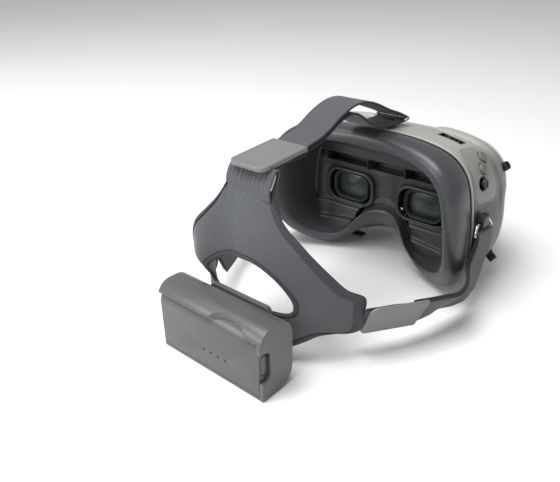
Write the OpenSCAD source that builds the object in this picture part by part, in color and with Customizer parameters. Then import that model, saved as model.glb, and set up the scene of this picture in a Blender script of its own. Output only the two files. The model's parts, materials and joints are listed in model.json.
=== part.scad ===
// First-person-view goggles with a padded headband and a battery pack behind the head.
// +X is the wearer's left, -Y is the front of the goggles, +Z is up. Millimetres.

/* [Housing] */
// Half width of the housing at the joint with the face mask
seam_w = 79; // [76:0.5:82]
// Height of the housing top above the resting surface
seam_top = 110; // [106:0.5:112]
// Wall thickness of the moulded shells
wall = 2.2; // [1.8:0.1:2.6]
// Foremost face of the goggles, measured from the lens plane
front_y = -74.5; // [-78:0.5:-72]

/* [Optics] */
// Half the spacing between the lens centres at rest
ipd_half = 32; // [30:0.5:33]
// Height of the lens centres above the resting surface
lens_z = 52; // [50:0.5:54]
// Half width of each lens
lens_w = 14; // [13:0.5:14.5]
// Half height of each lens
lens_h = 9.4; // [9:0.1:9.8]

/* [Buttons] */
// Radius of the round push buttons
btn_r = 3.7; // [3.2:0.1:4]

/* [Headband] */
// Width of the webbing
strap_w = 24; // [22:0.5:25]
// Thickness of one layer of webbing
strap_t = 1.6; // [1.4:0.1:1.8]
// Length of the grip tabs
tab_l = 39; // [36:0.5:42]
// Thickness of the back pad
pad_t = 5; // [4:0.5:6]

/* [Battery] */
// Length of the battery holder along X
hold_l = 84; // [82:0.5:86]
// Height of the battery holder
hold_h = 45.5; // [44:0.5:47]

/* [Hidden] */
back_y = 187.5;
y0 = -(front_y + back_y) / 2;
joint_y = -28;

// ---------- helpers ----------
module place() { translate([0, y0, 0]) children(); }
function cr(a, b, c, d, t) = 0.5 * ((2 * b) + (c - a) * t + (2 * a - 5 * b + 4 * c - d) * t * t + (3 * b - a - 3 * c + d) * t * t * t);
function smooth_closed(p, s) = let (n = len(p)) [for (i = [0:n-1]) for (k = [0:s-1]) cr(p[(i+n-1)%n], p[i], p[(i+1)%n], p[(i+2)%n], k/s)];
function smooth_open(p, s) = let (n = len(p)) concat([for (i = [0:n-2]) for (k = [0:s-1]) cr(p[max(0,i-1)], p[i], p[i+1], p[min(n-1,i+2)], k/s)], [p[n-1]]);
function unit(v) = v / norm(v);

// Half outline of the goggles seen from behind, from the top centre round the temple and the
// cheek to the nose: [width fraction, height fraction, joint line y, rim y, nose flag]
half = [[0,1,19,37,0],[.25,.998,19,38,0],[.48,.985,19,40.5,0],[.65,.96,19,43,0],[.78,.92,19,45.5,0],[.88,.85,19,47,0],
  [.94,.76,19,48,0],[.975,.63,19,48,0],[.995,.5,19,47,0],[1,.37,19,45,0],[.98,.24,17,41,0],[.91,.12,13,34,0],
  [.79,.045,8,26,0],[.64,.012,4,19,0],[.5,.03,1,15,0],[.4,.1,0,13,.5],[.325,.19,-2,12,1],[.24,.27,-5,9,1],[.13,.325,-8,5,1],[0,.345,-9,3,1]];
nh = len(half);
loop_pts = concat([for (i = [0:nh-1]) half[i]], [for (i = [nh-2:-1:1]) [-half[i][0], half[i][1], half[i][2], half[i][3], half[i][4]]]);
LP = smooth_closed(loop_pts, 2);
// One section: w half width, zt top, zb bottom, nf nose height factor, y from the function below
function sx(p, w) = p[0] * w;
function sz(p, zt, zb, nf) = zb + (zt - zb) * p[1] * (1 + (nf - 1) * p[4]);
function sec_t(w, zt, zb, nf, t, dy = 0) = [for (p = LP) [sx(p, w), p[2] + t * (joint_y - p[2]) + dy, sz(p, zt, zb, nf)]];
function sec_y(w, zt, zb, nf, y) = [for (p = LP) [sx(p, w), y, sz(p, zt, zb, nf)]];
function sec_r(w, zt, zb, nf, t, dy = 0) = [for (p = LP) [sx(p, w), p[2] + 1.4 + t * (p[3] - p[2] - 1.4) + dy, sz(p, zt, zb, nf)]];
// Closed ring through a list of sections, the last joined to the first
module ring(S) {
  m = len(S); n = len(S[0]);
  polyhedron([for (s = S) for (p = s) p], [for (j = [0:m-1]) for (i = [0:n-1])
    let (a = j*n+i, b = j*n+(i+1)%n, c = ((j+1)%m)*n+(i+1)%n, d = ((j+1)%m)*n+i) each [[a,b,c],[a,c,d]]]);
}
// Solid through a list of sections, capped at both ends
module solid(S) {
  m = len(S); n = len(S[0]);
  polyhedron([for (s = S) for (p = s) p], concat([[for (i = [n-1:-1:0]) i]], [for (j = [0:m-2]) for (i = [0:n-1])
    let (a = j*n+i, b = j*n+(i+1)%n, c = (j+1)*n+(i+1)%n, d = (j+1)*n+i) each [[a,b,c],[a,c,d]]], [[for (i = [0:n-1]) (m-1)*n+i]]));
}
// Flat band along a path: C centre points, W width directions, w widths, t thicknesses
module ribbon(C, W, w, t) {
  n = len(C);
  solid([for (i = [0:n-1]) let (d = unit(C[min(n-1,i+1)] - C[max(0,i-1)]), u = unit(W[i] - (W[i]*d)*d), v = cross(d, u))
    [C[i] - u*w[i]/2 - v*t[i]/2, C[i] + u*w[i]/2 - v*t[i]/2, C[i] + u*w[i]/2 + v*t[i]/2, C[i] - u*w[i]/2 + v*t[i]/2]]);
}
module rrect(w, h, r) { hull() for (a = [-1,1]) for (b = [-1,1]) translate([a*(w-r), b*(h-r)]) circle(r, $fn=24); }
// Rounded rectangle prism along Y: half width, half height, corner radius, from ya to yb
module rblock(w, h, r, ya, yb) { translate([0, yb, 0]) rotate([90,0,0]) linear_extrude(yb-ya) rrx(w, h, r); }
// Rounded rectangle made of true arcs
module rrx(w, h, r) { union() { square([2*w, 2*(h-r)], center=true); square([2*(w-r), 2*h], center=true);
  for (a = [-1,1]) for (b = [-1,1]) translate([a*(w-r), b*(h-r)]) circle(r, $fn=40); } }
module rod(a, b, r) { d = b - a; translate(a) rotate([0, acos(d[2]/norm(d)), atan2(d[1], d[0])]) cylinder(h=norm(d), r=r, $fn=24); }
module at(p, n) { translate(p) rotate([0, acos(n[2]/norm(n)), atan2(n[1], n[0])]) children(); }

// ---------- goggle shells ----------
hs = [[seam_w, seam_top, 3, .68, 0], [seam_w+1.5, seam_top-.4, 3, .56, .2], [seam_w+3, seam_top-2, 3.4, .41, .5], [seam_w+3, seam_top-4.5, 4.5, .28, .78], [seam_w+1.5, seam_top-7.5, 6.5, .20, 1]];
fs = [[seam_w+1.5, seam_top-7.5, 6.5, .20, joint_y], [75.3, 98.3, 9, .21, -42], [69, 93, 13, .24, -55], [59, 86, 18, .26, -65.5], [46, 77, 27, .3, -72], [38, 71, 33, .25, front_y]];
// Push button seats: position on the shell and outward direction (right side; the left side is mirrored)
seat = [[-68.4, -3.6, 96.4], [-72.7, 3.2, 91.4], [-76.1, 7, 83]];
dirs = [[-.68, 0, .73], [-.86, 0, .5], [-.95, 0, .31]];
jst = [3.9, 3.9, 5];
module seat_holes() for (i = [0:2]) at(seat[i] - 8*dirs[i], dirs[i]) cylinder(h=16, r=jst[i]+.15, $fn=48);
module seat_holes2() for (i = [0:1]) mirror([1,0,0]) at(seat[i] - 8*dirs[i], dirs[i]) cylinder(h=16, r=jst[i]+.15, $fn=48);
module rear_housing() place() color([.62,.61,.59]) difference() {
  ring(concat([for (h = hs) sec_t(h[0], h[1], h[2], h[3], h[4])], [for (i = [4:-1:0]) let (h = hs[i]) sec_t(h[0]-wall, h[1]-wall, h[2]+wall, h[3]*1.09, h[4])]));
  seat_holes(); seat_holes2();
  // display window of the channel panel
  mirror([1,0,0]) at(seat[2] - 8*dirs[2], dirs[2]) cube([5.2, 9.2, 30], center=true);
  // air vents in the top
  for (s = [-1,1]) translate([s*45.5, -3.6, 103.4]) rotate([0, s*12, 0]) cube([19, 8.4, 24], center=true);
  // slots of the eye distance sliders
  for (s = [-1,1]) translate([s*ipd_half, -9.4, 10]) cube([13, 5, 22], center=true);
  // port panel window
  translate([72, -22.6, 29]) cube([20, 22, 18]);
}
module front_cover() place() color([.7,.69,.67]) difference() {
  solid(concat([for (i = [5:-1:0]) let (h = fs[i]) sec_y(h[0], h[1], h[2], h[3], h[4])], [for (i = [0:4]) let (h = fs[i]) sec_y(h[0]-wall, h[1]-wall, h[2]+wall, h[3]*1.09, h[4])], [let (h = fs[5]) sec_y(h[0]-wall, h[1]-wall, h[2]+wall, h[3]*1.09, front_y+2.4)]));
  translate([0, front_y+4, 52]) rotate([90,0,0]) linear_extrude(20) rrx(30.2, 14.2, 8);
  translate([0, -53, 24]) cube([34.2, 17.8, 30], center=true);
}
module visor_panel() place() color([.12,.12,.13]) translate([0, 0, 52]) union() {
  rblock(30, 14, 8, front_y, front_y+2.4);
  difference() { rblock(32.5, 16, 9, front_y+2.4, front_y+3.6); rblock(27, 11, 6, front_y+2, front_y+5); } }
module intake_grille() place() color([.13,.13,.14]) difference() {
  translate([0, -53, 25]) cube([34, 17.6, 2.4], center=true);
  for (i = [-5:5]) translate([i*2.8, -53, 25]) cube([1.3, 14, 6], center=true); }
// Raised panels that carry the buttons, following the shell: same sections, lifted by o
function hs_at(t) = let (i = t < .2 ? 0 : t < .5 ? 1 : t < .78 ? 2 : 3, f = (t - hs[i][4])/(hs[i+1][4] - hs[i][4])) hs[i]*(1-f) + hs[i+1]*f;
function patch(a, b, t, o) = let (h = hs_at(t)) [for (i = [a:b]) let (p = LP[i]) [sx(p, h[0]+o), p[2] + t*(joint_y-p[2]), sz(p, h[1]+o, h[2]-o, h[3])]];
module shell_patch(a, b, ta, tb) { T = [ta, .2, .5, tb]; k = b-a+1; m = 4;
  polyhedron(concat([for (t = T) each patch(a, b, t, 1.1)], [for (t = T) each patch(a, b, t, .12)]), concat(
    [for (v = [0:m-2]) for (u = [0:k-2]) let (p = v*k+u) each [[p, p+1, p+k+1], [p, p+k+1, p+k]]],
    [for (v = [0:m-2]) for (u = [0:k-2]) let (p = m*k+v*k+u) each [[p, p+k+1, p+1], [p, p+k, p+k+1]]],
    [for (u = [0:k-2]) each [[u, m*k+u, m*k+u+1], [u, m*k+u+1, u+1]]],
    [for (u = [0:k-2]) let (p = (m-1)*k+u) each [[p, m*k+p+1, m*k+p], [p, p+1, m*k+p+1]]],
    [for (v = [0:m-2]) let (p = v*k) each [[p, p+k, m*k+p+k], [p, m*k+p+k, m*k+p]]],
    [for (v = [0:m-2]) let (p = v*k+k-1) each [[p, m*k+p+k, p+k], [p, m*k+p, m*k+p+k]]])); }
module control_panel() place() color([.55,.54,.53]) difference() { mirror([1,0,0]) shell_patch(7, 14, .08, .62); seat_holes(); }
module channel_panel() place() color([.55,.54,.53]) difference() {
  shell_patch(7, 14, .08, .62);
  seat_holes2();
  mirror([1,0,0]) at(seat[2] - 8*dirs[2], dirs[2]) cube([5.2, 9.2, 30], center=true); }
module mask_carrier() place() color([.75,.75,.74]) ring([sec_t(seam_w+.3, seam_top+.3, 2.6, .67, 0, .02), sec_t(seam_w+.3, seam_top+.3, 2.6, .67, 0, 1.38), sec_t(seam_w-6, seam_top-6, 8, .95, 0, 1.38), sec_t(seam_w-6, seam_top-6, 8, .95, 0, .02)]);
module face_padding() place() color([.22,.22,.23]) ring([
  sec_r(seam_w-.3, seam_top-.3, 2, .66, 0), sec_r(seam_w+1.3, seam_top+.6, 0, .67, .25), sec_r(seam_w+1.8, seam_top+.8, 1.8, .69, .6),
  sec_r(seam_w+.3, seam_top-1, 4.8, .73, .88), sec_r(seam_w-4, seam_top-5, 8.5, .80, 1), sec_r(seam_w-8.5, seam_top-9, 12, .90, .93),
  sec_r(seam_w-11, seam_top-10.5, 12.5, 1.0, .6), sec_r(seam_w-12, seam_top-11, 14, 1.12, .25), [for (p = LP) [sx(p, seam_w-13), max(.1, p[2]*.2 - 1), sz(p, seam_top-12, 15, 1.17)]],
  [for (p = LP) [sx(p, seam_w-11.6), max(.1, p[2]*.2 - 1), sz(p, seam_top-10.8, 13, 1.08)]],
  sec_r(seam_w-7, seam_top-7, 9.2, .98, 0, .02)]);

// ---------- optics ----------
module faceplate() place() color([.17,.17,.18]) difference() {
  translate([0, 0, 0]) rotate([90,0,0]) linear_extrude(2.6) polygon([for (p = LP) [sx(p, seam_w-8), sz(p, seam_top-7, 11.5, 1.3)]]);
  for (s = [-1,1]) translate([s*ipd_half, 0, lens_z]) rblock(20, 12.2, 9, -4, 1);
  translate([0, 0, 73]) rblock(17.6, 2.4, 1.6, -4, 1);
  for (x = [-37.5, 37.5]) translate([x, 0, 73]) rblock(16.8, 2.4, 1.6, -4, 1);
  for (s = [-1,1]) for (z = [40, 66]) translate([s*62, 0, z]) rotate([90,0,0]) cylinder(h=8, r=1.25, center=true, $fn=24);
}
module lens_frames() place() color([.14,.14,.15]) for (s = [-1,1]) translate([s*ipd_half, 0, lens_z]) difference() {
  rblock(21.7, 13.6, 10, 0, 3); rblock(20, 12.2, 9, -1, 4); }
module optic_rails() place() color([.75,.75,.77]) for (z = [lens_z+16, lens_z-16]) rod([-60, -14, z], [60, -14, z], 1.5);
module optic_barrel(s) place() color([.1,.1,.11]) translate([s*ipd_half, 0, lens_z]) difference() {
  union() { rblock(16.5, 11.4, 8.5, -26, -.4); rblock(17.5, 13.5, 4, -26, -20);
    for (z = [16,-16]) translate([0, -14, z]) rotate([0,90,0]) cylinder(h=10, r=3, center=true, $fn=40);
    for (z = [12,-12]) translate([-5, -16, z-2.4]) cube([10, 4, 4.8]); }
  rblock(lens_w+.02, lens_h+.02, 6.6, -5, 1); rblock(12.5, 8, 6, -27, 0);
  for (z = [16,-16]) translate([0, -14, z]) rotate([0,90,0]) cylinder(h=12, r=1.55, center=true, $fn=40);
}
module right_optic_barrel() optic_barrel(-1);
module left_optic_barrel() optic_barrel(1);
module lens(s) place() color([.25,.35,.33]) translate([s*ipd_half, 0, lens_z]) intersection() {
  rblock(lens_w, lens_h, 6.6, -5, 0); translate([0, -33.2, 0]) sphere(r=33, $fn=96); }
module right_lens() lens(-1);
module left_lens() lens(1);
module display(s) place() color([.08,.09,.1]) translate([s*ipd_half, -27.6, lens_z]) cube([30, 3.1, 22], center=true);
module right_display() display(-1);
module left_display() display(1);
module ipd_slider(s) place() color([.12,.12,.13]) translate([s*ipd_half, -9.4, 0]) {
  translate([-2, -1.5, 8]) cube([4, 3, lens_z-11.4-8]);
  translate([-s*3, 0, 0]) { translate([-5, -3.5, 6.3]) cube([10, 7, 1.8]);
  for (i = [-1:1]) translate([i*3-.6, -3.5, 5.8]) cube([1.2, 7, .6]); } }
module right_ipd_slider() ipd_slider(-1);
module left_ipd_slider() ipd_slider(1);

// ---------- electronics ----------
module main_board() place() color([.08,.3,.18]) translate([0, -36, 58]) difference() { cube([112, 1.6, 52], center=true);
  for (x = [-51,51]) for (z = [-21,21]) translate([x, 0, z]) rotate([90,0,0]) cylinder(h=4, r=1.6, center=true, $fn=24); }
module radio_shield() place() color([.78,.78,.8]) for (x = [-36, 36]) translate([x, -38.3, 58]) cube([30, 3, 28], center=true);
module heat_sink() place() color([.7,.7,.72]) translate([0, -36.8, 58]) union() {
  translate([-16, -3, -16]) cube([32, 3, 32]);
  for (i = [-5:5]) translate([i*3-.5, -8, -16]) cube([1, 5, 32]); }
module fan_housing() place() color([.1,.1,.1]) translate([0, -50.5, 58]) rotate([90,0,0]) difference() {
  translate([-16, -16, -5]) cube([32, 32, 10]);
  difference() { translate([0,0,-6]) cylinder(h=12, r=14.2, $fn=72);
    translate([0,0,-5]) cylinder(h=1.6, r=5, $fn=48); cylinder(h=6, r=1.5, center=true, $fn=32); translate([-15,-1,-5]) cube([30,2,1.6]); } }
module fan_rotor() place() color([.16,.16,.17]) translate([0, -50.5, 58]) rotate([90,0,0]) difference() {
  union() { translate([0,0,-2.9]) cylinder(h=7, r=5.5, $fn=48);
    for (a = [0:40:320]) rotate([0,0,a]) translate([5, 1, -2.2]) rotate([25,0,0]) cube([8, 1, 5]); }
  translate([0,0,-3.5]) cylinder(h=6.8, r=1.55, $fn=32); }

// ---------- controls ----------
module push_button(i, m = 0) mirror([m,0,0]) at(seat[i], dirs[i]) translate([0,0,-3.6]) cylinder(h=5.9, r=btn_r-.1, $fn=48);
module record_button() place() color([.58,.57,.56]) push_button(0);
module back_button() place() color([.58,.57,.56]) push_button(1);
module channel_up_button() place() color([.58,.57,.56]) push_button(0, 1);
module channel_down_button() place() color([.58,.57,.56]) push_button(1, 1);
module channel_display() place() color([.3,.02,.02]) mirror([1,0,0]) at(seat[2], dirs[2]) translate([-2.5, -4.5, -2.4]) cube([5, 9, 3]);
module joystick_gimbal() place() color([.1,.1,.1]) at(seat[2] - 5*dirs[2], dirs[2]) difference() { cylinder(h=1.6, r=3.6, center=true, $fn=40); cylinder(h=3, r=2.6, center=true, $fn=40); }
module joystick_rocker() place() color([.1,.1,.1]) at(seat[2] - 5*dirs[2], dirs[2]) difference() { cylinder(h=2, r=2.2, center=true, $fn=40); cylinder(h=3, r=1.25, center=true, $fn=32); }
module joystick_cap() place() color([.07,.07,.07]) at(seat[2] - 5*dirs[2], dirs[2]) union() { translate([0,0,-1]) cylinder(h=7, r=1.2, $fn=32); translate([0,0,6]) cylinder(h=1.8, r=3.2, $fn=40); }

// ---------- ports ----------
module port_panel() place() color([.2,.2,.21]) difference() {
  translate([72.5, -22.4, 29.2]) cube([9.4, 21.6, 17.6]);
  translate([60, -6.4, 40]) rotate([0,90,0]) cylinder(h=30, r=3.2, $fn=48);
  translate([60, -16.8, 40]) rotate([0,90,0]) cylinder(h=30, r=4.1, $fn=48);
  translate([60, -14.6, 31.2]) cube([30, 9.4, 3.6]);
  translate([60, -19.1, 33]) rotate([0,90,0]) cylinder(h=30, r=1.8, $fn=32); }
module audio_jack() place() color([.1,.1,.1]) translate([67.4, -6.4, 40]) rotate([0,90,0]) difference() { cylinder(h=14.5, r=3.15, $fn=48); translate([0,0,.5]) cylinder(h=15, r=1.8, $fn=48); }
module power_jack() place() color([.1,.1,.1]) translate([70.9, -16.8, 40]) rotate([0,90,0]) difference() { cylinder(h=11, r=4.05, $fn=48); difference() { translate([0,0,1.5]) cylinder(h=10, r=2.8, $fn=48); cylinder(h=9.5, r=1, $fn=32); } }
module usb_port() place() color([.72,.72,.74]) translate([74.4, -14.55, 31.25]) difference() { cube([7.5, 9.3, 3.5]); translate([1, .5, .5]) cube([8, 8.3, 2.5]); }
module link_button() place() color([.5,.1,.1]) translate([76.4, -19.1, 33]) rotate([0,90,0]) cylinder(h=5.9, r=1.5, $fn=32);
ant = [[72.9, -23.6, 82.7], [73.6, -23.6, 20.5]];
antd = [[.77, 0, .64], [.77, 0, -.64]];
module antenna_jacks() place() color([.1,.1,.1]) for (m = [0,1]) mirror([m,0,0]) for (k = [0,1]) at(ant[k], antd[k]) union() { cylinder(h=8.8, r=3.175, $fn=40); cylinder(h=3.4, r=4.2, $fn=6); }
module air_vents() place() color([.05,.05,.05]) for (s = [-1,1]) translate([s*45.5, -3.6, 103.4]) rotate([0, s*12, 0]) difference() { cube([18.8, 8.2, 3], center=true); for (i = [-2:2]) translate([i*3.4, 0, 0]) cube([2.3, 6.8, 8], center=true); }
module housing_screws() place() color([.3,.3,.32]) for (s = [-1,1]) for (z = [40, 66]) translate([s*62, 0, z]) rotate([90,0,0]) union() { cylinder(h=8, r=1.2, $fn=24); translate([0,0,-2]) cylinder(h=2, r=2.2, $fn=32); }

// ---------- strap hardware ----------
lug = [82.2, 13.6, 62];
module strap_lugs() place() color([.3,.3,.31]) {
  for (s = [-1,1]) difference() { translate([s*82.6, lug[1], lug[2]-1]) rotate([90,0,0]) linear_extrude(8, center=true) rrx(2.5, 4.2, 1.5);
    translate([s*82.6, lug[1], lug[2]-2]) rotate([90,0,0]) cylinder(h=20, r=1.25, center=true, $fn=32); }
  difference() { translate([0, 4, 110.6]) rotate([0,90,0]) linear_extrude(10, center=true) rrx(2.4, 3, 1.4);
    translate([0, 4, 111]) rotate([0,90,0]) cylinder(h=20, r=1.25, center=true, $fn=32); } }
// Wire loop in its own XZ plane: short bar at the origin, long bar below it
module wire_loop(a, b, h) { r = 1.2; rod([-a,0,0],[a,0,0], r); rod([a,0,0],[b,0,-h], r); rod([-a,0,0],[-b,0,-h], r); rod([-b,0,-h],[b,0,-h], r);
  for (p = [[-a,0,0],[a,0,0],[-b,0,-h],[b,0,-h]]) translate(p) sphere(r=r+.06, $fn=32); }
module side_loop(s) place() color([.85,.85,.87]) translate([s*82.6, lug[1], lug[2]-2]) rotate([0, -s*10, 0]) rotate([0,0,90]) wire_loop(8, 13.4, 6.5);
module right_loop() side_loop(-1);
module left_loop() side_loop(1);
module top_loop() place() color([.12,.12,.13]) translate([0, 4, 111]) rotate([-115, 0, 0]) wire_loop(8, 13.6, 7);

// ---------- headband ----------
// Side strap: centre line, width direction, thickness, from the loop to the pad (right side)
sp = [[-84.2,13.8,53.4],[-84.6,14.8,44.5],[-84.2,21.5,30],[-85.6,31,24.5],[-87.2,44,23.3],[-87.4,60,24.4],[-84.5,72,25],[-78.9,84.5,25],[-74.2,93,25.6],[-69.4,101.8,26.4],[-64.7,110.5,27.1],[-60,119.2,27.9]];
sw = [[0,1,.15],[0,.97,.25],[0,.91,.4],[-.1,.88,.45],[-.2,.85,.5],[-.33,.78,.53],[-.42,.4,.8],[-.43,.14,.89],[-.43,.14,.89],[-.43,.14,.89],[-.43,.14,.89],[-.43,.14,.89]];
st = [2,2,2,2,2,2,2,2,1,1,1,1];
module side_strap() { k = 3; c = smooth_open(sp, k); w = smooth_open(sw, k); t = smooth_open(st, k);
  ribbon(c, w, [for (x = c) strap_w], [for (x = t) x*strap_t]); }
module right_strap() place() color([.2,.2,.22]) side_strap();
module left_strap() place() color([.2,.2,.22]) mirror([1,0,0]) side_strap();
tabd = [.47, .88, .08];
tabw = unit([-.43,.14,.89] - ([-.43,.14,.89]*unit(tabd))*unit(tabd));
tabn = cross(unit(tabd), tabw);
module side_tab() multmatrix([[tabd[0]/norm(tabd), tabw[0], tabn[0], -71-1.2*0],[tabd[1]/norm(tabd), tabw[1], tabn[1], 101],[tabd[2]/norm(tabd), tabw[2], tabn[2], 26.3],[0,0,0,1]])
  translate([0,0,-2.2]) linear_extrude(2.2) union() { translate([-6,0]) rrx(tab_l/2-6, 13.5, 1); translate([6,0]) rrx(tab_l/2-6, 13.5, 5); }
module right_tab() place() color([.45,.45,.47]) side_tab();
module left_tab() place() color([.45,.45,.47]) mirror([1,0,0]) side_tab();
tp = [[0,-2.5,113.6],[0,9,118.8],[0,22.6,124],[0,35,129.6],[0,46,133.6],[0,56,135.2],[0,66,134.4],[0,78,130.6],[0,88,125.9],[0,98,122.6],[0,109,120.6],[0,112,117.7],[0,130,117.2],[0,139,115.6],[0,143.6,112.6]];
tt = [2,2,2,2,2,2,2,2,2,2,2,1,1,1,1];
module top_strap() place() color([.2,.2,.22]) { k = 3; c = smooth_open(tp, k); t = smooth_open(tt, k);
  ribbon(c, [for (x = c) [1,0,0]], [for (x = c) strap_w], [for (x = t) x*strap_t]); }
module top_tab() place() color([.5,.5,.52]) translate([0, 111.5+tab_l/2, 121.5]) rotate([-4,0,0]) translate([0,0,-3]) linear_extrude(3) union() {
  translate([0,-5]) rrx(13.5, tab_l/2-5, 1); translate([0,5]) rrx(13.5, tab_l/2-5, 5); }
// Back pad: a ring of padding round an opening, on a head-shaped surface
function ease(t) = let (u = min(1, max(0, t))) u*u*(3 - 2*u);
function head_y(x, z, d) = let (zz = max(0, z-70)) 157 - 17*pow(zz/50, 2) - 60*(1 - sqrt(max(.02, 1 - pow(x/68, 2)))) - d*sqrt(1 + pow(.55*x/40, 2)) + 12*ease((x-4)/34)*ease((z-31)/25);
po = [[0,113],[12,112.5],[15.5,108],[20,98],[27,89],[35,81],[43,71],[50,61],[56,51.5],[62,44.5],[62.3,34],[61.2,22.2],[53,22.3],[45,20.5],[37,15],[28,10],[14,8],[0,8]];
pi_ = [[0,63],[6,63],[12,61.5],[17,59],[22,55.5],[26,51.5],[29,47.5],[31,44],[32,41],[32,38.5],[31.5,36.5],[30,35],[28,34.3],[25,34],[20,34],[14,34],[7,34],[0,34]];
function closeup(h) = concat(h, [for (i = [len(h)-2:-1:1]) [-h[i][0], h[i][1]]]);
PO = smooth_closed(closeup(po), 2);
PI = smooth_closed(closeup(pi_), 2);
function pad_rail(f, d) = [for (i = [0:len(PO)-1]) let (p = PI[i]*(1-f) + PO[i]*f) [p[0], head_y(p[0], p[1], d), p[1]]];
module back_pad() place() color([.18,.18,.2]) ring(concat([for (f = [0,.06,.3,.55,.8,.95,1]) pad_rail(f, (f == 0 || f == 1) ? 1.2 : 0)], [for (f = [1,.95,.8,.55,.3,.06,0]) pad_rail(f, pad_t*(1 - .4*pow(abs(2*f-1), 6)))]));
module pad_ring() place() color([.85,.85,.87]) { r = 1.1; a = [15.6, 142.4, 116]; b = [15.6, 147.6, 107];
  for (s = [-1,1]) rod([s*a[0], a[1], a[2]], [s*b[0], b[1], b[2]], r);
  for (p = [a, b]) { rod([-p[0], p[1], p[2]], p, r); for (s = [-1,1]) translate([s*p[0], p[1], p[2]]) sphere(r=r+.06, $fn=32); } }

// ---------- battery ----------
// Outline of the holder and of the battery in the Y-Z plane
module hold_outline() intersection() {
  union() { translate([172.5, hold_h-12]) circle(12, $fn=72); translate([173.5, 13]) circle(13, $fn=72);
    translate([160.5, 13]) square([20, hold_h-25]); translate([173, 0]) square([14.5, hold_h]); translate([172.5, hold_h-14]) square([4, 14]); }
  union() { translate([150, -1]) square([27.5, 60]); translate([177.5, hold_h-10]) circle(10, $fn=72); translate([170, -1]) square([15.9, hold_h-9]); } }
module bat_outline(d = 0) intersection() {
  union() { translate([173.7, 31.8]) circle(10.2+d, $fn=64); translate([174.7, 13.2]) circle(11.2+d, $fn=64);
    translate([163.5-d, 13]) square([12, 19]); translate([173.5, 2-d]) square([14, 40+2*d]); }
  union() { translate([150, 0]) square([25.1, 60]); translate([175.2, 31.3]) circle(10.7+d, $fn=72); translate([170, 0]) square([15.9+d, 31.3]); } }
module yz(xa, xb) { translate([xa,0,0]) rotate([90,0,90]) linear_extrude(xb-xa) children(); }
module battery_holder() place() color([.2,.2,.21]) difference() {
  yz(-hold_l/2, hold_l/2) hold_outline();
  // bay of the battery, open at the wearer's left
  yz(-hold_l/2+2.2, hold_l/2+1) bat_outline(.4);
  // open front below the lip
  yz(-hold_l/2+2.2, hold_l/2+1) translate([181, 1.6]) square([10, 37.4]);
  // finger cut in the end wall
  yz(-hold_l/2-1, -hold_l/2+4) union() { translate([183, 16]) circle(4, $fn=40); translate([183, 28]) circle(4, $fn=40); translate([179, 16]) square([10, 12]); translate([183, 12]) square([8, 20]); }
  // thumb notch in the lip
  translate([-15.5, 203.5, 45]) cylinder(h=30, r=22, center=true, $fn=96);
  for (x = [-18,18]) for (z = [14,30]) translate([x, 170, z]) rotate([90,0,0]) cylinder(h=12, r=1.3, $fn=24); }
module holder_plate() place() color([.2,.2,.21]) difference() {
  translate([0, 160.45, 26]) rotate([90,0,0]) linear_extrude(3.2) rrx(24, 15, 3);
  for (x = [-18,18]) for (z = [14,30]) translate([x, 165, z]) rotate([90,0,0]) cylinder(h=12, r=1.3, $fn=24); }
module holder_screws() place() color([.6,.6,.62]) for (x = [-18,18]) for (z = [14,30]) translate([x, 163.0, z]) rotate([90,0,0]) cylinder(h=4.5, r=1.25, $fn=24);
bx0 = -hold_l/2 + 2.6; bx1 = hold_l/2;
module battery_case() place() color([.22,.22,.23]) difference() {
  yz(bx0, bx1) bat_outline();
  // hollow for the cells, board, button and lights
  translate([-34, 166, 6]) cube([72, 18, 26]);
  translate([bx0-1, 181.8, 22]) rotate([0,90,0]) union() { translate([4,0,0]) cylinder(h=8, r=2.9, $fn=40); translate([-4,0,0]) cylinder(h=8, r=2.9, $fn=40); translate([-4,-2.9,0]) cube([8,5.8,8]); }
  for (i = [0:3]) translate([5-6*i, 180, 14]) rotate([-90,0,0]) cylinder(h=10, r=.9, $fn=24); }
module battery_cells() place() color([.15,.3,.55]) for (z = [12.6, 25.2]) translate([-33, 171.7, z-6.2]) cube([60, 11.6, 12]);
module battery_board() place() color([.08,.3,.18]) translate([29, 167, 7]) cube([1.6, 16, 24]);
module battery_button() place() color([.25,.25,.26]) translate([bx0-.3, 181.8, 22]) rotate([0,90,0]) union() { translate([4,0,0]) cylinder(h=4, r=2.5, $fn=40); translate([-4,0,0]) cylinder(h=4, r=2.5, $fn=40); translate([-4,-2.5,0]) cube([8,5,4]); }
module level_lights() place() color([.9,.9,.9]) for (i = [0:3]) translate([5-6*i, 183.7, 14]) rotate([-90,0,0]) cylinder(h=1.95, r=.88, $fn=24);

rear_housing();
front_cover();
visor_panel();
intake_grille();
control_panel();
channel_panel();
mask_carrier();
face_padding();
faceplate();
lens_frames();
optic_rails();
right_optic_barrel();
left_optic_barrel();
right_lens();
left_lens();
right_display();
left_display();
right_ipd_slider();
left_ipd_slider();
main_board();
radio_shield();
heat_sink();
fan_housing();
fan_rotor();
record_button();
back_button();
channel_up_button();
channel_down_button();
link_button();
channel_display();
joystick_gimbal();
joystick_rocker();
joystick_cap();
port_panel();
audio_jack();
usb_port();
power_jack();
antenna_jacks();
air_vents();
housing_screws();
strap_lugs();
right_loop();
left_loop();
top_loop();
right_strap();
left_strap();
top_strap();
right_tab();
left_tab();
top_tab();
back_pad();
pad_ring();
battery_holder();
holder_plate();
holder_screws();
battery_case();
battery_cells();
battery_board();
battery_button();
level_lights();
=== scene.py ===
import json, math
import bpy, bmesh
import numpy as np
from mathutils import Vector, Matrix


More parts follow.
